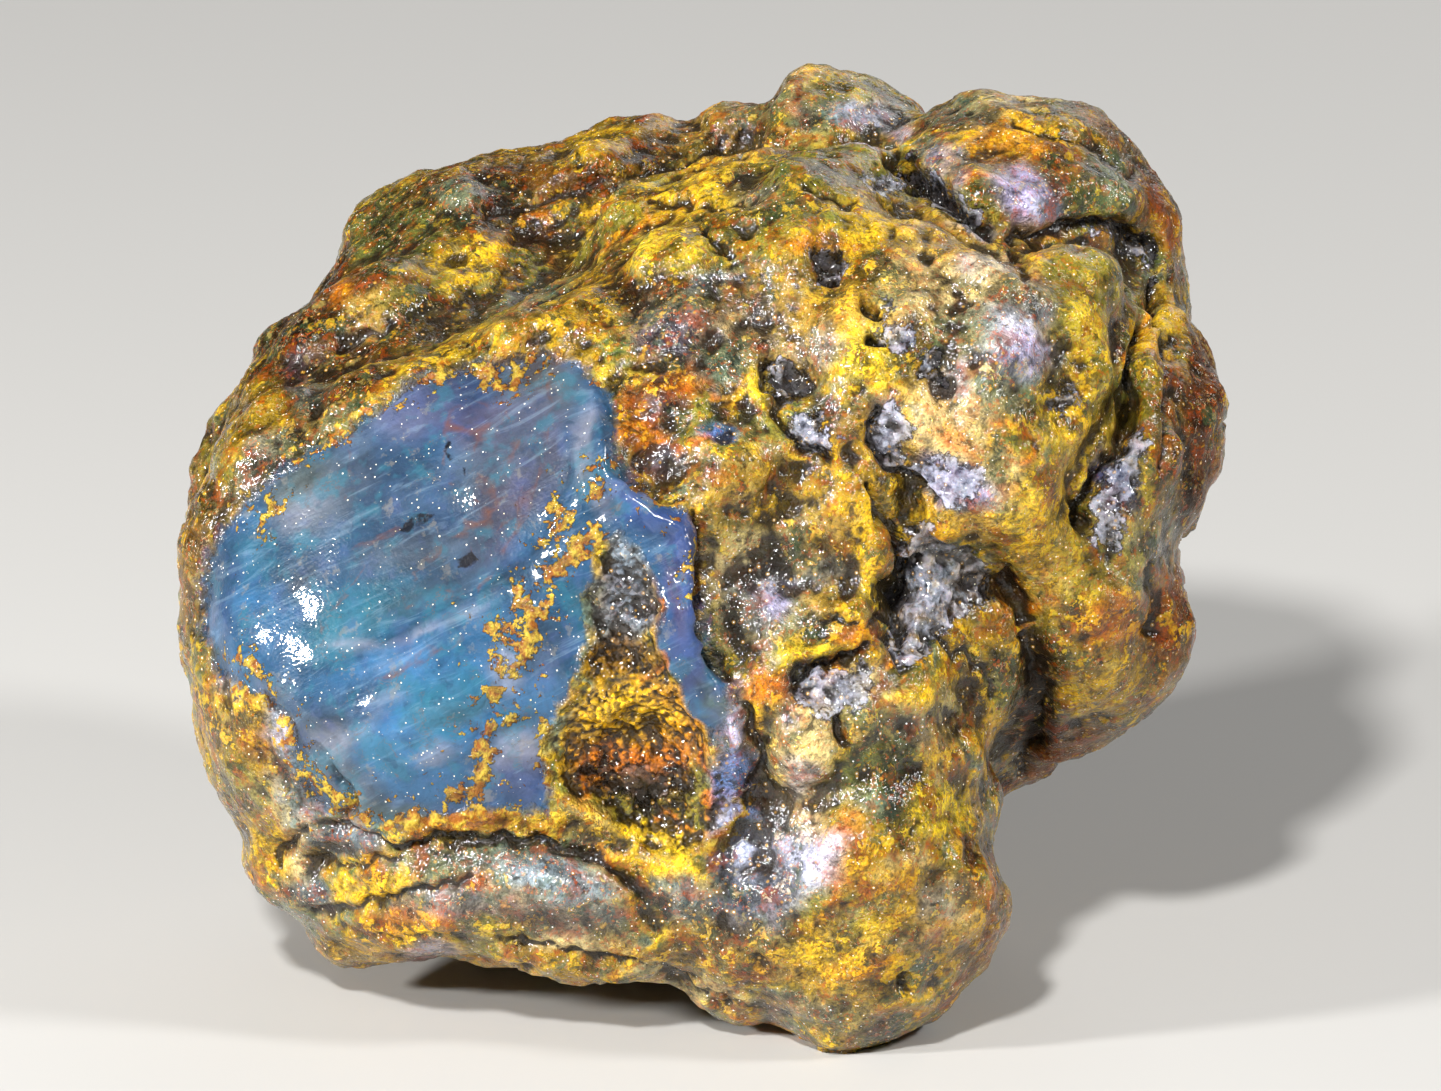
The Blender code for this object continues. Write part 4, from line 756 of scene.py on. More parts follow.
# Each crack: its line, half width, depth, and how much higher its left side stands, mm
CRACKS = [
    ([(11.4, 25.2), (12.5, 24.2), (13.8, 23.1), (14.9, 22.3), (15.9, 21.6), (17.8, 20.4),
      (18.9, 19.8)], 0.6, 1.9, 0.25),
    ([(18.9, 19.8), (21.2, 19.6), (22.8, 20.2), (25.0, 20.5), (26.6, 19.9), (28.1, 19.2),
      (29.2, 17.8)], 0.4, 1.0, 0.2),
    ([(29.1, 18.0), (28.6, 16.2), (28.1, 14.7), (27.5, 12.8), (27.2, 11.2), (27.0, 9.4),
      (26.7, 7.8), (26.1, 6.2), (25.2, 5.0), (24.4, 3.9), (23.9, 2.8), (24.0, 1.8), (24.6, 0.6)
     ], 0.55, 1.9, 0.3),
    ([(11.1, 9.2), (10.8, 7.8), (11.0, 6.6), (11.8, 5.5), (12.5, 4.8), (13.4, 4.2), (14.4, 3.5),
      (15.0, 2.6)], 0.33, 0.9, 0.15),
    ([(10.6, 4.5), (11.1, 3.1), (11.6, 1.9), (12.1, 0.6), (12.6, -0.6)], 0.4, 1.0, 0.3),
    ([(13.2, -0.4), (12.9, -1.6), (12.6, -2.6), (12.4, -3.6), (12.2, -4.5), (11.6, -5.2)
     ], 0.85, 2.4, 0.4),
    ([(11.4, -5.2), (12.1, -6.1), (12.7, -7.0), (13.2, -7.8)], 0.33, 0.9, 0.0),
    ([(-0.8, 3.2), (0.0, 2.2), (0.5, 1.1), (0.6, -0.1), (0.4, -1.6), (0.2, -3.1), (0.2, -4.5),
      (0.4, -5.6), (0.9, -6.6), (1.5, -7.6), (2.2, -8.1)], 0.42, 1.25, 0.75),
    ([(-5.2, 4.6), (-4.2, 4.0), (-3.2, 3.6), (-2.4, 3.1), (-0.8, 3.2)], 0.25, 0.5, -0.35),
    ([(4.0, 12.4), (4.1, 11.2), (4.4, 10.1), (4.8, 9.2), (5.2, 8.1), (5.8, 7.2), (6.4, 6.4),
      (7.5, 6.1), (8.4, 5.9)], 0.4, 1.1, 0.45),
    ([(-0.2, 20.5), (0.8, 19.5), (1.4, 18.8), (2.0, 17.9)], 0.33, 0.8, 0.0),
    ([(8.5, -10.2), (8.6, -11.1), (8.9, -11.9), (9.1, -12.5)], 0.3, 0.9, 0.0),
    ([(5.4, -8.8), (5.8, -7.9), (7.0, -7.2), (8.6, -6.9), (9.9, -6.4), (10.9, -5.6)
     ], 0.35, 1.0, 0.55),
    ([(2.8, -9.4), (3.2, -11.2), (3.8, -12.6), (3.9, -14.4)], 0.3, 0.6, 0.0),
    ([(7.4, -4.5), (8.4, -4.1), (9.4, -4.5), (10.2, -4.6)], 0.25, 0.5, 0.25),
    ([(18.8, -1.4), (19.4, -2.6), (20.0, -3.9), (20.4, -4.8)], 0.6, 0.8, 0.0),
    ([(20.4, -4.8), (21.1, -7.0), (21.5, -9.4), (21.0, -11.9), (19.8, -14.2)], 0.7, 0.8, 0.3),
    ([(-24.6, -16.8), (-22.7, -17.3), (-20.5, -18.0), (-18.4, -18.6), (-16.7, -18.1),
      (-13.2, -18.0), (-10.0, -18.2), (-7.9, -18.7), (-6.0, -19.2), (-4.9, -19.9),
      (-4.1, -21.2), (-3.0, -21.6)], 0.38, 0.75, 0.25),
    ([(-22.5, -17.2), (-21.8, -16.0), (-22.1, -15.0), (-23.2, -13.8)], 0.3, 0.6, 0.0),
    ([(-26.2, -20.1), (-26.0, -18.9), (-25.4, -18.0), (-24.4, -17.4)], 0.35, 0.7, 0.0),
    ([(-24.0, -19.2), (-21.1, -19.6), (-18.4, -19.1)], 0.35, 0.35, 0.25),
    ([(-25.0, -22.2), (-23.1, -22.6), (-20.2, -22.0), (-17.6, -21.1), (-14.9, -20.6),
      (-13.8, -20.1)], 0.35, 0.5, 0.3),
    ([(-23.1, -23.4), (-20.2, -24.2), (-16.9, -24.1), (-14.4, -24.6)], 0.35, 0.3, 0.0),
    ([(-12.5, -24.6), (-9.7, -24.8), (-6.9, -25.6), (-3.5, -26.0), (0.9, -28.0), (3.1, -28.9)
     ], 0.4, 0.5, -0.2),
    ([(-14.4, 21.0), (-10.0, 22.1), (-6.2, 23.1), (-3.1, 23.9), (0.0, 25.0), (3.8, 25.9)
     ], 1.3, 1.0, 0.0),
    ([(-23.1, 12.4), (-21.8, 13.2), (-20.0, 13.8), (-18.9, 14.6)], 0.45, 0.8, 0.0),
    ([(-3.8, 22.1), (-0.6, 21.6), (2.2, 21.5), (4.0, 22.1)], 0.3, 0.5, 0.1),
    ([(-27.4, -8.8), (-26.1, -10.6), (-25.0, -12.0), (-23.4, -13.2), (-22.5, -15.0)
     ], 0.3, 0.3, 0.0),
    ([(6.2, 22.8), (8.1, 22.1), (9.9, 21.6)], 0.3, 0.45, 0.0),
    ([(18.8, 26.9), (21.9, 26.2), (25.0, 25.1), (27.5, 23.0)], 0.5, 0.5, 0.0),
    ([(14.4, -4.4), (15.9, -6.2), (17.8, -7.4), (18.5, -9.4)], 0.3, 0.5, 0.0),
    ([(19.1, 18.8), (20.0, 18.0), (20.6, 16.8)], 0.35, 0.6, 0.0),
    ([(28.0, -0.6), (28.8, -3.1), (28.2, -5.6)], 0.5, 0.7, 0.0),
    ([(29.2, 13.8), (29.5, 10.6), (29.4, 7.5), (28.8, 4.4)], 0.6, 0.9, 0.0),
]
# Each hole or dent: centre, radii, turn in degrees and depth, mm
HOLES = [
    ((10.6, 15.3), (0.85, 0.5), -38, 2.0), ((11.0, 13.2), (0.62, 0.36), -25, 1.6),
    ((14.8, 11.9), (0.5, 0.8), 8, 0.15), ((8.0, 18.0), (1.2, 1.4), 10, 0.12),
    ((8.2, 16.8), (0.6, 0.3), 0, 0.7), ((5.6, 10.2), (1.3, 1.5), 0, 0.2),
    ((6.8, 7.1), (1.1, 0.8), -20, 0.25), ((2.8, 20.1), (1.1, 0.6), 0, 0.5),
    ((19.4, -2.6), (0.7, 1.2), 20, 0.35), ((23.6, 19.1), (0.9, 0.5), 30, 0.35),
    ((11.6, 22.8), (0.8, 0.5), 20, 0.3), ((7.2, -8.8), (1.6, 1.0), 10, 0.3),
    ((14.4, -0.6), (1.2, 1.2), 0, 0.6), ((13.8, -5.6), (1.2, 1.0), 30, 0.5),
    ((10.1, -2.5), (1.4, 1.6), 0, 0.5), ((4.7, -2.9), (2.0, 2.6), 0, 0.15),
    ((6.2, 5.0), (1.0, 0.7), 0, 0.15), ((12.8, -27.2), (0.7, 0.6), 0, 0.6),
    ((17.2, -18.8), (0.8, 1.2), 0, 0.4), ((22.9, 9.1), (0.6, 0.4), 20, 0.2),
    ((16.4, 15.6), (0.7, 0.5), 0, 0.25), ((9.4, 5.9), (0.7, 1.0), 0, 0.5),
]
# Each knob: centre, radii, turn in degrees and height, mm
KNOBS = [
    ((6.5, -12.4), (2.1, 3.1), -12, 0.9), ((3.9, 9.7), (0.9, 2.0), 12, 0.6),
    ((8.2, 20.7), (0.8, 0.8), 0, 0.35), ((-1.8, 18.6), (2.6, 1.3), 18, 0.45),
    ((11.2, 19.9), (0.7, 0.6), 0, 0.3), ((10.9, -0.4), (1.0, 2.8), -12, 0.9),
    ((9.9, -3.6), (1.2, 0.9), 0, 0.4), ((7.0, -6.3), (2.0, 0.5), 14, 0.5),
    ((10.8, -6.4), (1.0, 0.8), 0, 0.5), ((-25.0, -19.4), (1.2, 1.4), 0, 0.5),
    ((13.8, 8.1), (1.8, 1.6), 0, 0.3), ((15.8, 1.2), (1.2, 0.9), 0, 0.35),
    ((16.1, 5.0), (2.2, 1.3), -20, -0.2), ((-10.0, -21.2), (4.5, 1.6), -6, 0.3),
    ((13.8, -15.6), (2.4, 1.4), 22, 0.35), ((-14.7, 22.2), (1.8, 1.1), 0, 0.4),
    ((12.8, -9.4), (1.5, 1.2), 0, 0.35), ((20.6, 21.9), (2.2, 1.4), -30, 0.3),
    ((25.0, 23.1), (1.8, 1.6), 0, 0.3), ((19.4, 13.8), (2.4, 3.0), 0, 0.3),
    ((23.4, 15.6), (1.8, 2.2), 0, 0.25), ((18.1, 9.4), (1.5, 1.3), 0, 0.25),
    ((0.0, 8.8), (1.3, 1.0), 0, 0.35), ((-2.5, 9.4), (1.6, 1.2), 20, 0.3),
    ((12.8, -22.2), (2.6, 2.0), 0, 0.25), ((6.2, -25.0), (3.0, 1.8), -10, 0.25),
    ((28.8, 10.6), (0.8, 2.0), 0, 0.4), ((-0.6, 0.1), (0.5, 0.8), 0, 0.3),
    ((-1.0, -2.2), (0.5, 0.7), 10, 0.3), ((-0.5, -4.2), (0.5, 0.7), 0, 0.3),
    ((0.0, -6.2), (0.6, 0.5), 30, 0.3), ((1.4, -9.4), (0.7, 0.6), 0, 0.45),
    ((2.2, -11.6), (0.7, 0.8), 0, 0.45), ((2.4, -14.1), (0.8, 0.7), 0, 0.4),
    ((1.5, -16.6), (0.7, 0.7), 0, 0.35), ((-3.1, 3.2), (0.8, 0.4), -20, 0.25),
    ((-5.1, 4.0), (0.6, 0.5), 0, 0.25), ((3.1, -18.8), (1.0, 0.9), 0, 0.4),
]
LAP_REACH = 2.6  # how far from a joint the higher flow is still raised, mm
# The network of cracks on the far sides: spacing, half width as a share of it, and depth in mm
FAR_SPACING, FAR_HALF, FAR_DEPTH = 8.5, 0.035, 0.7
JAG_REACH, JAG_SIZE = 0.7, 2.6  # how far those cracks stray from smooth curves, mm

for line, half, depth, lap in CRACKS:
    distance, signed, along = from_line(ragged, line)
    cut = np.clip(1.0 - distance / (half * 1.6), 0.0, 1.0) ** 1.3
    lapped = 0.5 * lap * np.clip(1.0 - distance / LAP_REACH, 0.0, 1.0) ** 1.5
    raised += facing * end_fade(along, 0.08) * (np.where(signed < 0.0, lapped, -lapped) - depth * cut)
for centre, radii, turn, depth in HOLES:
    raised -= facing * depth * (1.0 - step_up(0.35, 1.25, in_oval(ragged, centre, radii, turn)))
for centre, radii, turn, height in KNOBS:
    raised += facing * height * (1.0 - step_up(0.2, 1.3, in_oval(ragged, centre, radii, turn)))

jag = np.array([noise.noise_vector(place) for place in (points / JAG_SIZE + 1.1).tolist()])
jag = JAG_REACH * jag
web = np.abs(np.array([noise.noise(place) for place in ((points + jag) / FAR_SPACING + 6.7).tolist()]))
cracked = step_up(-0.05, 0.35, cloud(points, 12.0, 2, 1.7)) * (1.0 - facing)
raised -= cracked * FAR_DEPTH * (1.0 - step_up(0.0, FAR_HALF, web))


# ------------------------------------------------------------------------ The finished skin
# The relief is worked in, flat stretches give up the facets that they don't need, and the stone
# is kept inside the box of its solid.

KEPT_FACES = 196000
BASE_FADE = 1.2  # above the ground the relief comes in over this height, mm
FINE_DIP, BROAD_DIP = 0.075, 0.40  # how deep a full dip is, in fine and in broad relief, mm

skin = points + normals * (raised * step_up(0.05, BASE_FADE, points[:, 2]))[:, None]
move_skin(skin)
bpy.ops.object.select_all(action="DESELECT")
stone.select_set(True)
bpy.context.view_layer.objects.active = stone
thin_out = stone.modifiers.new("thin_out", "DECIMATE")
thin_out.ratio = KEPT_FACES / sum(len(face.vertices) - 2 for face in stone.data.polygons)
thin_out.use_collapse_triangulate = True
bpy.ops.object.modifier_apply(modifier="thin_out")

skin = skin_points()
for axis in range(3):
    low, high = cad_box[0][axis] / MM, cad_box[1][axis] / MM
    middle = 0.0 if axis == 2 else (low + high) / 2
    over = max((skin[:, axis].max() - middle) / (high - middle), 1.0)
    under = max((middle - skin[:, axis].min()) / (middle - low), 1.0) if axis < 2 else 1.0
    off = skin[:, axis] - middle
    skin[:, axis] = middle + np.where(off > 0.0, off / over, off / under)
move_skin(skin)
stone.data.shade_smooth()

# How deep in a dip each point lies, found by comparing the skin with a smoothed copy of itself. The finish
# paints shade into the dips and highlight onto the crests from it
ends = np.empty(len(stone.data.edges) * 2, np.int64)
stone.data.edges.foreach_get("vertices", ends)
ends = ends.reshape(-1, 2)
neighbours = np.bincount(ends.ravel(), minlength=len(skin))


def evened(values, rounds):
    for _ in range(rounds):
        total = (np.bincount(ends[:, 0], values[ends[:, 1]], len(values))
                 + np.bincount(ends[:, 1], values[ends[:, 0]], len(values)))
        values = 0.5 * values + 0.5 * total / neighbours
    return values


fine = np.stack([evened(skin[:, axis], 6) for axis in range(3)], axis=1)
broad = np.stack([evened(fine[:, axis], 60) for axis in range(3)], axis=1)
outward = skin_normals()
dip = (((fine - skin) * outward).sum(axis=1) / FINE_DIP
       + ((broad - fine) * outward).sum(axis=1) / BROAD_DIP)
keep("dip", dip.clip(-3.0, 3.0))


# ------------------------------------------------------------------------ Weathered amber
# Fossil resin, broken and weathered, oiled to bring up its colour. The rind scatters light from
# crumbs of stained resin under a wet gloss, the break is smooth and blue with depth in it, and
# every grain gives a pinprick of light, painted into the colour as a glint. Shade is painted into
# the dips and highlight onto the crests. It is opaque: nothing is seen through it.

AMBER_IOR = 1.54
STREAK_TURN = math.radians(27.0)  # the break's fine streaks rise to the right
STREAK_ALONG = math.cos(STREAK_TURN) * FACE_RIGHT + math.sin(STREAK_TURN) * FACE_UP
STREAK_ACROSS = math.cos(STREAK_TURN) * FACE_UP - math.sin(STREAK_TURN) * FACE_RIGHT
STREAK_LENGTH, STREAK_WIDTH = 5.0, 0.9  # mm
SCATTER_DEPTH = 0.8  # how far light spreads under the skin, mm
OIL_FILM = 0.42  # the film of oil fills the finest relief, and keeps this share of its height

finish = bpy.data.materials.new("weathered_amber")
finish.use_nodes = True
tree = finish.node_tree
tree.nodes.clear()


def add(kind, sockets=(), **settings):
    """Adds a node with its settings. Each socket gets a value, or a link from a node or socket."""
    node = tree.nodes.new("ShaderNode" + kind)
    for name, value in settings.items():
        setattr(node, name, value)
    for name, value in dict(sockets).items():
        if isinstance(value, bpy.types.Node):
            value = next(output for output in value.outputs if output.enabled)
        if isinstance(value, bpy.types.NodeSocket):
            tree.links.new(value, node.inputs[name])
        else:
            node.inputs[name].default_value = value
    return node


def colour(hex_colour):
    return (*linear(hex_colour), 1.0)


place = add("VectorMath", {0: add("TexCoord").outputs["Object"], "Scale": 1.0 / MM}, operation="SCALE")

# Unevenness of the stone at several sizes, in mm
swirl = add("TexNoise", {"Vector": place, "Scale": 1 / 3.0, "Detail": 5.0, "Roughness": 0.62,
                         "Distortion": 0.5})
drift = add("TexNoise", {"Vector": add("VectorMath", {0: place, 1: (31.0, 7.0, 19.0)}), "Scale": 1 / 2.2,
                         "Detail": 3.0, "Roughness": 0.6})
mottle = add("TexNoise", {"Vector": place, "Scale": 1 / 0.95, "Detail": 3.5, "Roughness": 0.72,
                          "Distortion": 0.3})
stain = add("TexNoise", {"Vector": add("VectorMath", {0: place, 1: (5.0, 47.0, 11.0)}), "Scale": 1 / 1.7,
                         "Detail": 4.0, "Roughness": 0.7})
fray = add("TexNoise", {"Vector": place, "Scale": 1 / 0.7, "Detail": 3.0, "Roughness": 0.68})
dust = add("TexNoise", {"Vector": place, "Scale": 1 / 0.22, "Detail": 1.0, "Roughness": 0.6})
grain = add("TexVoronoi", {"Vector": place, "Scale": 1 / 0.5}, feature="F1")
sand = add("TexVoronoi", {"Vector": place, "Scale": 1 / 0.34}, feature="F1")
facet = add("TexVoronoi", {"Vector": place, "Scale": 1 / 0.36}, feature="F1")

ragged_edge = add("Math", enumerate((dust, 0.2, fray)), operation="MULTIPLY_ADD")

# Where each of the stone's parts lies, with edges frayed by the unevenness. For each: how far the
# edge wanders and how soft it is, mm
EDGES = {"window": (1.3, 0.32), "keyhole": (1.0, 0.2), "core": (2.2, 0.2), "crust": (2.4, 0.06),
         "vein": (0.3, 0.12), "fleck": (0.5, 0.06), "seam": (2.4, 0.14)}
share = {}
for name, (wander, softness) in EDGES.items():
    inside = add("Attribute", attribute_name=name).outputs["Fac"]
    frayed = add("Math", enumerate((ragged_edge, wander, inside)), operation="MULTIPLY_ADD")
    share[name] = add("MapRange", enumerate((frayed, wander * 0.6 - softness, wander * 0.6 + softness)))
dip_here = add("Attribute", attribute_name="dip").outputs["Fac"]

# The rind: translucent stained resin, lighter and darker, with dark joints, fine pale veins, rust,
# moss and wax-pale pockets, and gold to orange crumbs that stand on it
tint = add("Attribute", attribute_name="rind_colour").outputs["Color"]
tone = add("MapRange", enumerate((swirl, 0.39, 0.60, 0.20, 1.18)))
speckled = add("MapRange", enumerate((grain.outputs["Color"], 0.0, 1.0, 0.74, 1.26)))
joint = add("MapRange", enumerate((mottle, 0.35, 0.44, 0.25, 1.0)))
tone = add("Math", enumerate((tone, speckled)), operation="MULTIPLY")
tone = add("Math", enumerate((tone, joint)), operation="MULTIPLY")
rind = add("VectorMath", {0: tint, "Scale": tone}, operation="SCALE")
for field, low, high, strength, hex_colour in (
        (stain, 0.55, 0.60, 0.38, "#9A3E04"), (drift, 0.56, 0.61, 0.45, "#3A5030"),
        (stain, 0.40, 0.34, 0.35, "#C8B060"), (drift, 0.42, 0.36, 0.35, "#36302E")):
    amount = add("MapRange", enumerate((field, low, high, 0.0, strength)))
    rind = add("Mix", {0: amount, 6: rind, 7: colour(hex_colour)}, data_type="RGBA")
pale_vein = add("Math", enumerate((stain, 0.5, 0.007)), operation="COMPARE")
pale_vein = add("Math", enumerate((pale_vein, add("MapRange", enumerate((fray, 0.45, 0.6, 0.0, 0.55))))),
                operation="MULTIPLY")
rind = add("Mix", {0: pale_vein, 6: rind, 7: colour("#D8C89A")}, data_type="RGBA")
rough_patch = add("Math", enumerate((drift, 0.5, mottle)), operation="MULTIPLY_ADD")
hue = add("SeparateColor", {0: tint})
paleness = add("RGBToBW", {0: tint})
warmth = add("Math", enumerate((hue.outputs["Blue"], -3.0, hue.outputs["Red"])), operation="MULTIPLY_ADD",
             use_clamp=True)
rough_patch = add("Math", enumerate((warmth, 0.20, rough_patch)), operation="MULTIPLY_ADD")
crumbs = add("MapRange", enumerate((rough_patch, 0.875, 0.895)))
crumbs = add("Mix", {0: share["keyhole"], 2: crumbs, 3: 0.0})
crumb_colour = add("Mix", {0: add("MapRange", enumerate((fray, 0.40, 0.60))), 6: colour("#C4850C"),
                           7: colour("#EFD02A")}, data_type="RGBA")
crumb_colour = add("Mix", {0: 0.45, 6: add("VectorMath", {0: tint, "Scale": 1.25}, operation="SCALE"),
                           7: crumb_colour}, data_type="RGBA")
rind = add("Mix", {0: add("Math", enumerate((crumbs, 0.85)), operation="MULTIPLY"), 6: rind,
                   7: crumb_colour}, data_type="RGBA")
specks = add("Math", enumerate((dust, 0.7, fray)), operation="MULTIPLY_ADD")
for low, high, strength, hex_colour in ((0.95, 0.99, 0.40, "#A8480A"), (0.76, 0.70, 0.35, "#20170E")):
    amount = add("MapRange", enumerate((specks, low, high, 0.0, strength)))
    rind = add("Mix", {0: amount, 6: rind, 7: colour(hex_colour)}, data_type="RGBA")
powder = add("MapRange", enumerate((dust, 0.34, 0.66, 0.94, 1.06)))
rind = add("VectorMath", {0: rind, "Scale": powder}, operation="SCALE")

# The break: blue with clouds of teal and violet, milky wisps and hair-fine brown veins
run = [add("VectorMath", {0: place, 1: tuple(way)}, operation="DOT_PRODUCT").outputs["Value"]
       for way in (STREAK_ALONG / STREAK_LENGTH, STREAK_ACROSS / STREAK_WIDTH, FACE_OUT / STREAK_LENGTH)]
streak = add("TexNoise", {"Vector": add("CombineXYZ", enumerate(run)), "Scale": 1.0, "Detail": 3.0,
                          "Roughness": 0.65, "Distortion": 1.2})
cloudy = add("MapRange", enumerate((swirl, 0.32, 0.68, 0.34, 0.74)))
streaked = add("MapRange", enumerate((streak, 0.30, 0.70, 0.88, 1.12)))
cloudy = add("Math", enumerate((cloudy, streaked)), operation="MULTIPLY")
blue_tint = add("Attribute", attribute_name="blue_colour").outputs["Color"]
blue = add("VectorMath", {0: blue_tint, "Scale": cloudy}, operation="SCALE")
for field, low, high, strength, hex_colour in (
        (drift, 0.52, 0.62, 0.45, "#327082"), (drift, 0.44, 0.32, 0.30, "#4A5688"),
        (streak, 0.56, 0.68, 0.20, "#8CA6B8"), (stain, 0.42, 0.32, 0.45, "#223A58"),
        (stain, 0.60, 0.66, 0.35, "#8A8478")):
    amount = add("MapRange", enumerate((field, low, high, 0.0, strength)))
    blue = add("Mix", {0: amount, 6: blue, 7: colour(hex_colour)}, data_type="RGBA")
hair = add("Math", enumerate((swirl, 0.5, 0.006)), operation="COMPARE")
hair = add("Math", enumerate((hair, add("MapRange", enumerate((drift, 0.5, 0.6, 0.0, 0.4))))),
           operation="MULTIPLY")
blue = add("Mix", {0: hair, 6: blue, 7: colour("#6E5044")}, data_type="RGBA")

skin_colour = add("Mix", {0: share["window"], 6: rind, 7: blue}, data_type="RGBA")

# Crust, veins, the pit's grit and core and the dark seams, each laid over what is beneath it
gold = add("Mix", {0: add("MapRange", enumerate((mottle, 0.42, 0.58))), 6: colour("#96560E"),
                   7: colour("#D4B43A")}, data_type="RGBA")
gold = add("Mix", {0: add("MapRange", enumerate((stain, 0.50, 0.60, 0.0, 0.6))), 6: gold,
                   7: colour("#8C5A14")}, data_type="RGBA")
gold = add("VectorMath", {0: gold, "Scale": add("MapRange", enumerate((fray, 0.38, 0.60, 0.5, 1.08)))},
           operation="SCALE")
gritted = add("MapRange", enumerate((sand.outputs["Color"], 0.2, 0.8, 0.35, 1.7)))
gritted = add("VectorMath", {0: tint, "Scale": gritted}, operation="SCALE")
charred = add("Mix", {0: add("MapRange", enumerate((fray, 0.38, 0.62))), 6: colour("#1C1610"),
                      7: colour("#5E4A44")}, data_type="RGBA")
sandy = add("Mix", {0: add("MapRange", enumerate((fray, 0.36, 0.62))), 6: colour("#34384A"),
                    7: colour("#B4BACE")}, data_type="RGBA")
for name, strength, over in (("crust", 0.92, gold), ("vein", 0.75, colour("#6E4432")),
                             ("fleck", 0.95, colour("#10121A")), ("keyhole", 0.8, gritted),
                             ("core", 0.65, charred), ("seam", 0.7, sandy)):
    amount = add("Math", enumerate((share[name], strength)), operation="MULTIPLY")
    skin_colour = add("Mix", {0: amount, 6: skin_colour, 7: over}, data_type="RGBA")

# Painted shade darkens the dips, and a painted highlight lightens the crests
dip_shade_depth = add("Mix", {0: share["window"], 2: 0.9, 3: 0.35})
dip_shade = add("MapRange", enumerate((dip_here, 0.0, 1.2, 0.0, dip_shade_depth)))
skin_colour = add("Mix", {0: dip_shade, 6: skin_colour, 7: colour("#1E160C")}, data_type="RGBA")
crest_highlight = add("MapRange", enumerate((dip_here, -0.4, -2.0, 1.0, 1.35)))
crest_highlight = add("Mix", {0: share["window"], 2: crest_highlight, 3: 1.0})
skin_colour = add("VectorMath", {0: skin_colour, "Scale": crest_highlight}, operation="SCALE")

# Painted glints: pinpricks of light drawn into the colour as pale dots, one bright grain in each
# cell, with a painted gold halo round each on the rind. Real ones are too fine to show in a render,
# so they are drawn coarser, and fewer.
picked = add("MapRange", enumerate((add("SeparateColor", {0: grain.outputs["Color"]}), 0.55, 0.80)))
glint_size = add("Mix", {0: share["window"], 2: 0.12, 3: 0.07})
glint_halo = add("MapRange", enumerate((grain.outputs["Distance"], 0.30, 0.18, 0.0, 0.55)))
glint_halo = add("Math", enumerate((glint_halo, picked)), operation="MULTIPLY")
glint_halo = add("Mix", {0: share["window"], 2: glint_halo, 3: 0.0})
skin_colour = add("Mix", {0: glint_halo, 6: skin_colour, 7: colour("#D9A030")}, data_type="RGBA")
gathered = add("Mix", {0: share["window"], 2: add("MapRange", enumerate((paleness, 0.02, 0.16, 0.15, 1.0))),
                       3: add("MapRange", enumerate((fray, 0.46, 0.60, 0.15, 1.0)))})
picked = add("Math", enumerate((picked, gathered)), operation="MULTIPLY")
bright = add("Math", enumerate((grain.outputs["Distance"], glint_size)), operation="LESS_THAN")
glint_share = add("Math", enumerate((bright, picked)), operation="MULTIPLY")
# Pale crystal specks, drawn bright as painted glints, crowded most where the skin is pale
speck = add("TexVoronoi", {"Vector": place, "Scale": 1 / 0.33}, feature="F1")
chance = add("SeparateColor", {0: speck.outputs["Color"]})
speck_glint_size = add("MapRange", enumerate((chance.outputs["Green"], 0.0, 1.0, 0.05, 0.19)))
speck_glint_share = add("Math", enumerate((speck.outputs["Distance"], speck_glint_size)), operation="LESS_THAN")
crowd = add("Math", enumerate((fray, chance.outputs["Red"])), operation="ADD")
sugary = add("Math", enumerate((warmth, -0.6, paleness)), operation="MULTIPLY_ADD")
milky = add("MapRange", enumerate((add("RGBToBW", {0: blue_tint}), 0.16, 0.45, 0.03, 0.45)))
pale = add("Mix", {0: share["window"], 2: sugary, 3: milky})
crowd = add("Math", enumerate((pale, 0.7, crowd)), operation="MULTIPLY_ADD")
speck_glint_strength = add("MapRange", enumerate((crowd, 1.03, 1.32, 0.0, 1.0)))
speck_glint_share = add("Math", enumerate((speck_glint_share, speck_glint_strength)), operation="MULTIPLY")
glint_share = add("Math", enumerate((glint_share, speck_glint_share)), operation="MAXIMUM")
glint_tint = add("Mix", {0: warmth, 6: colour("#FFFFFF"), 7: colour("#F4D860")}, data_type="RGBA")
skin_colour = add("Mix", {0: glint_share, 6: skin_colour, 7: glint_tint}, data_type="RGBA")

# Relief too fine for the mesh, as heights in mm
domes = add("MapRange", enumerate((sand.outputs["Distance"], 0.0, 0.6, 0.19, 0.0)))
rind_relief = add("Math", enumerate((domes, 0.8, 0.08)), operation="MULTIPLY_ADD")
rind_relief = add("Math", enumerate((rind_relief, crumbs)), operation="MULTIPLY")
rind_relief = add("Math", enumerate((mottle, 0.46, rind_relief)), operation="MULTIPLY_ADD")
rind_relief = add("Math", enumerate((fray, 0.20, rind_relief)), operation="MULTIPLY_ADD")
rind_relief = add("Math", enumerate((dust, 0.035, rind_relief)), operation="MULTIPLY_ADD")
break_relief = add("Math", enumerate((domes, 0.07)), operation="MULTIPLY")
break_relief = add("Math", enumerate((dust, 0.03, break_relief)), operation="MULTIPLY_ADD")
break_relief = add("Math", enumerate((streak, 0.05, break_relief)), operation="MULTIPLY_ADD")
sand_relief = add("MapRange", enumerate((sand.outputs["Distance"], 0.0, 0.6, 0.16, 0.0)))
tipped = add("VectorMath", {0: add("VectorMath", {0: place, "Scale": 1 / 0.36}, operation="SCALE"),
                            1: facet.outputs["Position"]}, operation="SUBTRACT")
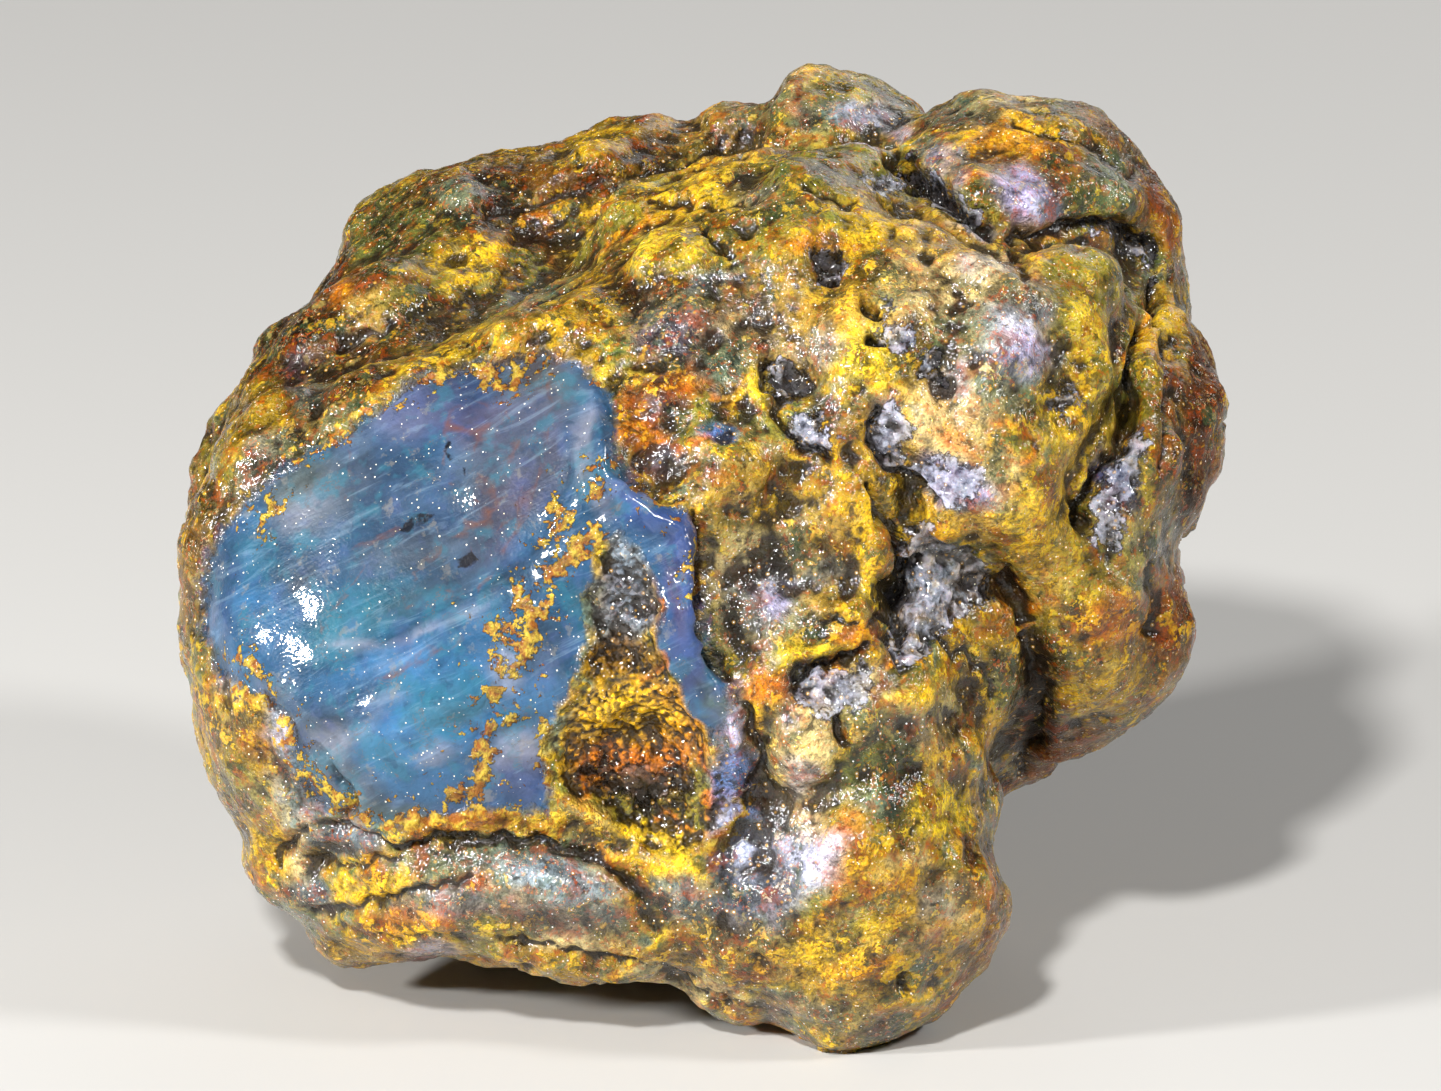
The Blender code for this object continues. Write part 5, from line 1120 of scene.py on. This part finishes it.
tipped = add("VectorMath", {0: tipped, 1: add("VectorMath", {0: facet.outputs["Color"], 1: (0.5, 0.5, 0.5)},
                                              operation="SUBTRACT")}, operation="DOT_PRODUCT")
facet_relief = add("Math", enumerate((tipped.outputs["Value"], 0.34)), operation="MULTIPLY")
facet_relief = add("Math", enumerate((fray, 0.25, facet_relief)), operation="MULTIPLY_ADD")
relief = add("Mix", {0: share["window"], 2: rind_relief, 3: break_relief})
for name, height in (("crust", rind_relief), ("keyhole", sand_relief), ("core", facet_relief),
                     ("seam", facet_relief)):
    relief = add("Mix", {0: share[name], 2: relief, 3: height})
bump = add("Bump", {"Strength": 1.0, "Distance": MM, "Height": relief})
film = add("Mix", {0: OIL_FILM, 4: add("NewGeometry").outputs["Normal"], 5: bump}, data_type="VECTOR")

crumbly = add("MapRange", enumerate((mottle, 0.35, 0.65, 0.30, 0.52)))
roughness = add("Mix", {0: share["window"], 2: crumbly, 3: 0.38})
roughness = add("Mix", {0: share["crust"], 2: roughness, 3: crumbly})
roughness = add("Mix", {0: share["seam"], 2: roughness, 3: 0.26})
waxy = add("MapRange", enumerate((warmth, 0.0, 0.35, 1.0, 0.7)))
waxy = add("Math", enumerate((waxy, add("MapRange", enumerate((crumbs, 0.0, 1.0, 1.0, 0.7))))),
           operation="MULTIPLY")
dull = add("MapRange", enumerate((paleness, 0.02, 0.14, 0.25, 1.0)))
waxy = add("Math", enumerate((waxy, dull)), operation="MULTIPLY")
coat = add("Mix", {0: share["window"], 2: waxy, 3: 0.7})
coat = add("Mix", {0: share["seam"], 2: coat, 3: 1.0})
coat = add("Mix", {0: share["crust"], 2: coat, 3: 0.3})

shader = add("BsdfPrincipled", {
    "Base Color": skin_colour, "Roughness": roughness, "Normal": bump, "IOR": AMBER_IOR,
    "Specular IOR Level": 0.1, "Coat Weight": coat, "Coat Roughness": 0.06,
    "Coat IOR": AMBER_IOR, "Coat Normal": film,
    "Subsurface Weight": 0.10, "Subsurface Radius": (1.0, 0.6, 0.3), "Subsurface Scale": SCATTER_DEPTH * MM})
add("OutputMaterial", {"Surface": shader})
stone.data.materials.clear()
stone.data.materials.append(finish)

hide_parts("amber_nodule")
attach(stone, "root")


# ------------------------------------------------------------------------ Floor and light
# A plain pale floor and four lamps: a small one low on the left, the main one above the viewer,
# one from the right, and a broad dim one behind. The first three are small, so the skin glints.

bpy.ops.mesh.primitive_plane_add(size=6.0)
floor = bpy.context.active_object
floor.name = "floor"
paint = bpy.data.materials.new("matt_paint")
paint.use_nodes = True
paint.node_tree.nodes["Principled BSDF"].inputs["Base Color"].default_value = colour("#C8C6C2")
paint.node_tree.nodes["Principled BSDF"].inputs["Roughness"].default_value = 0.7
floor.data.materials.append(paint)

MIDDLE = Vector((0.0, 0.0, 0.026))
# Each lamp: name, direction it stands in, distance and size in metres, and power in watts
LAMPS = [("window_light", (-0.847, -0.42, 0.326), 0.50, 0.05, 2.7),
         ("high_light", (-0.20, -0.70, 0.68), 0.9, 0.08, 8.3),
         ("right_light", (0.75, -0.24, 0.60), 0.9, 0.14, 3.9),
         ("back_fill", (0.35, 0.85, 0.50), 1.2, 0.9, 3.0)]
for name, direction, distance, size, power in LAMPS:
    lamp = bpy.data.lights.new(name, "AREA")
    lamp.shape = "DISK"
    lamp.size = size
    lamp.energy = power
    holder = bpy.data.objects.new(name, lamp)
    bpy.context.scene.collection.objects.link(holder)
    towards = Vector(direction).normalized()
    holder.location = MIDDLE + distance * towards
    holder.rotation_mode = "QUATERNION"
    holder.rotation_quaternion = towards.to_track_quat("Z", "Y")

room = bpy.data.worlds.new("room")
room.use_nodes = True
room.node_tree.nodes["Background"].inputs["Color"].default_value = colour("#C8CCD2")
room.node_tree.nodes["Background"].inputs["Strength"].default_value = 0.06
bpy.context.scene.world = room
bpy.context.scene.view_settings.view_transform = "Standard"


# ------------------------------------------------------------------------ Camera
# Square on to the face, so a little above the stone, through a long lens from arm's length.

FRAME_PIXELS = 1441  # the width of the frame
FRAME_WIDTH = FRAME_PIXELS / 16  # what it takes in at the middle of the face, mm

view = bpy.data.cameras.new("view")
view.sensor_width = 36.0
view.lens = view.sensor_width * VIEW_DISTANCE / FRAME_WIDTH
view.shift_x = 20.5 / FRAME_PIXELS
view.shift_y = 4.5 / FRAME_PIXELS
view.clip_start = 0.05
view.clip_end = 20.0
camera = bpy.data.objects.new("camera", view)
bpy.context.scene.collection.objects.link(camera)
camera.location = Vector((FACE_MIDDLE + FACE_OUT * VIEW_DISTANCE) * MM)
camera.rotation_mode = "QUATERNION"
camera.rotation_quaternion = Vector(-FACE_OUT).to_track_quat("-Z", "Y")
bpy.context.scene.camera = camera
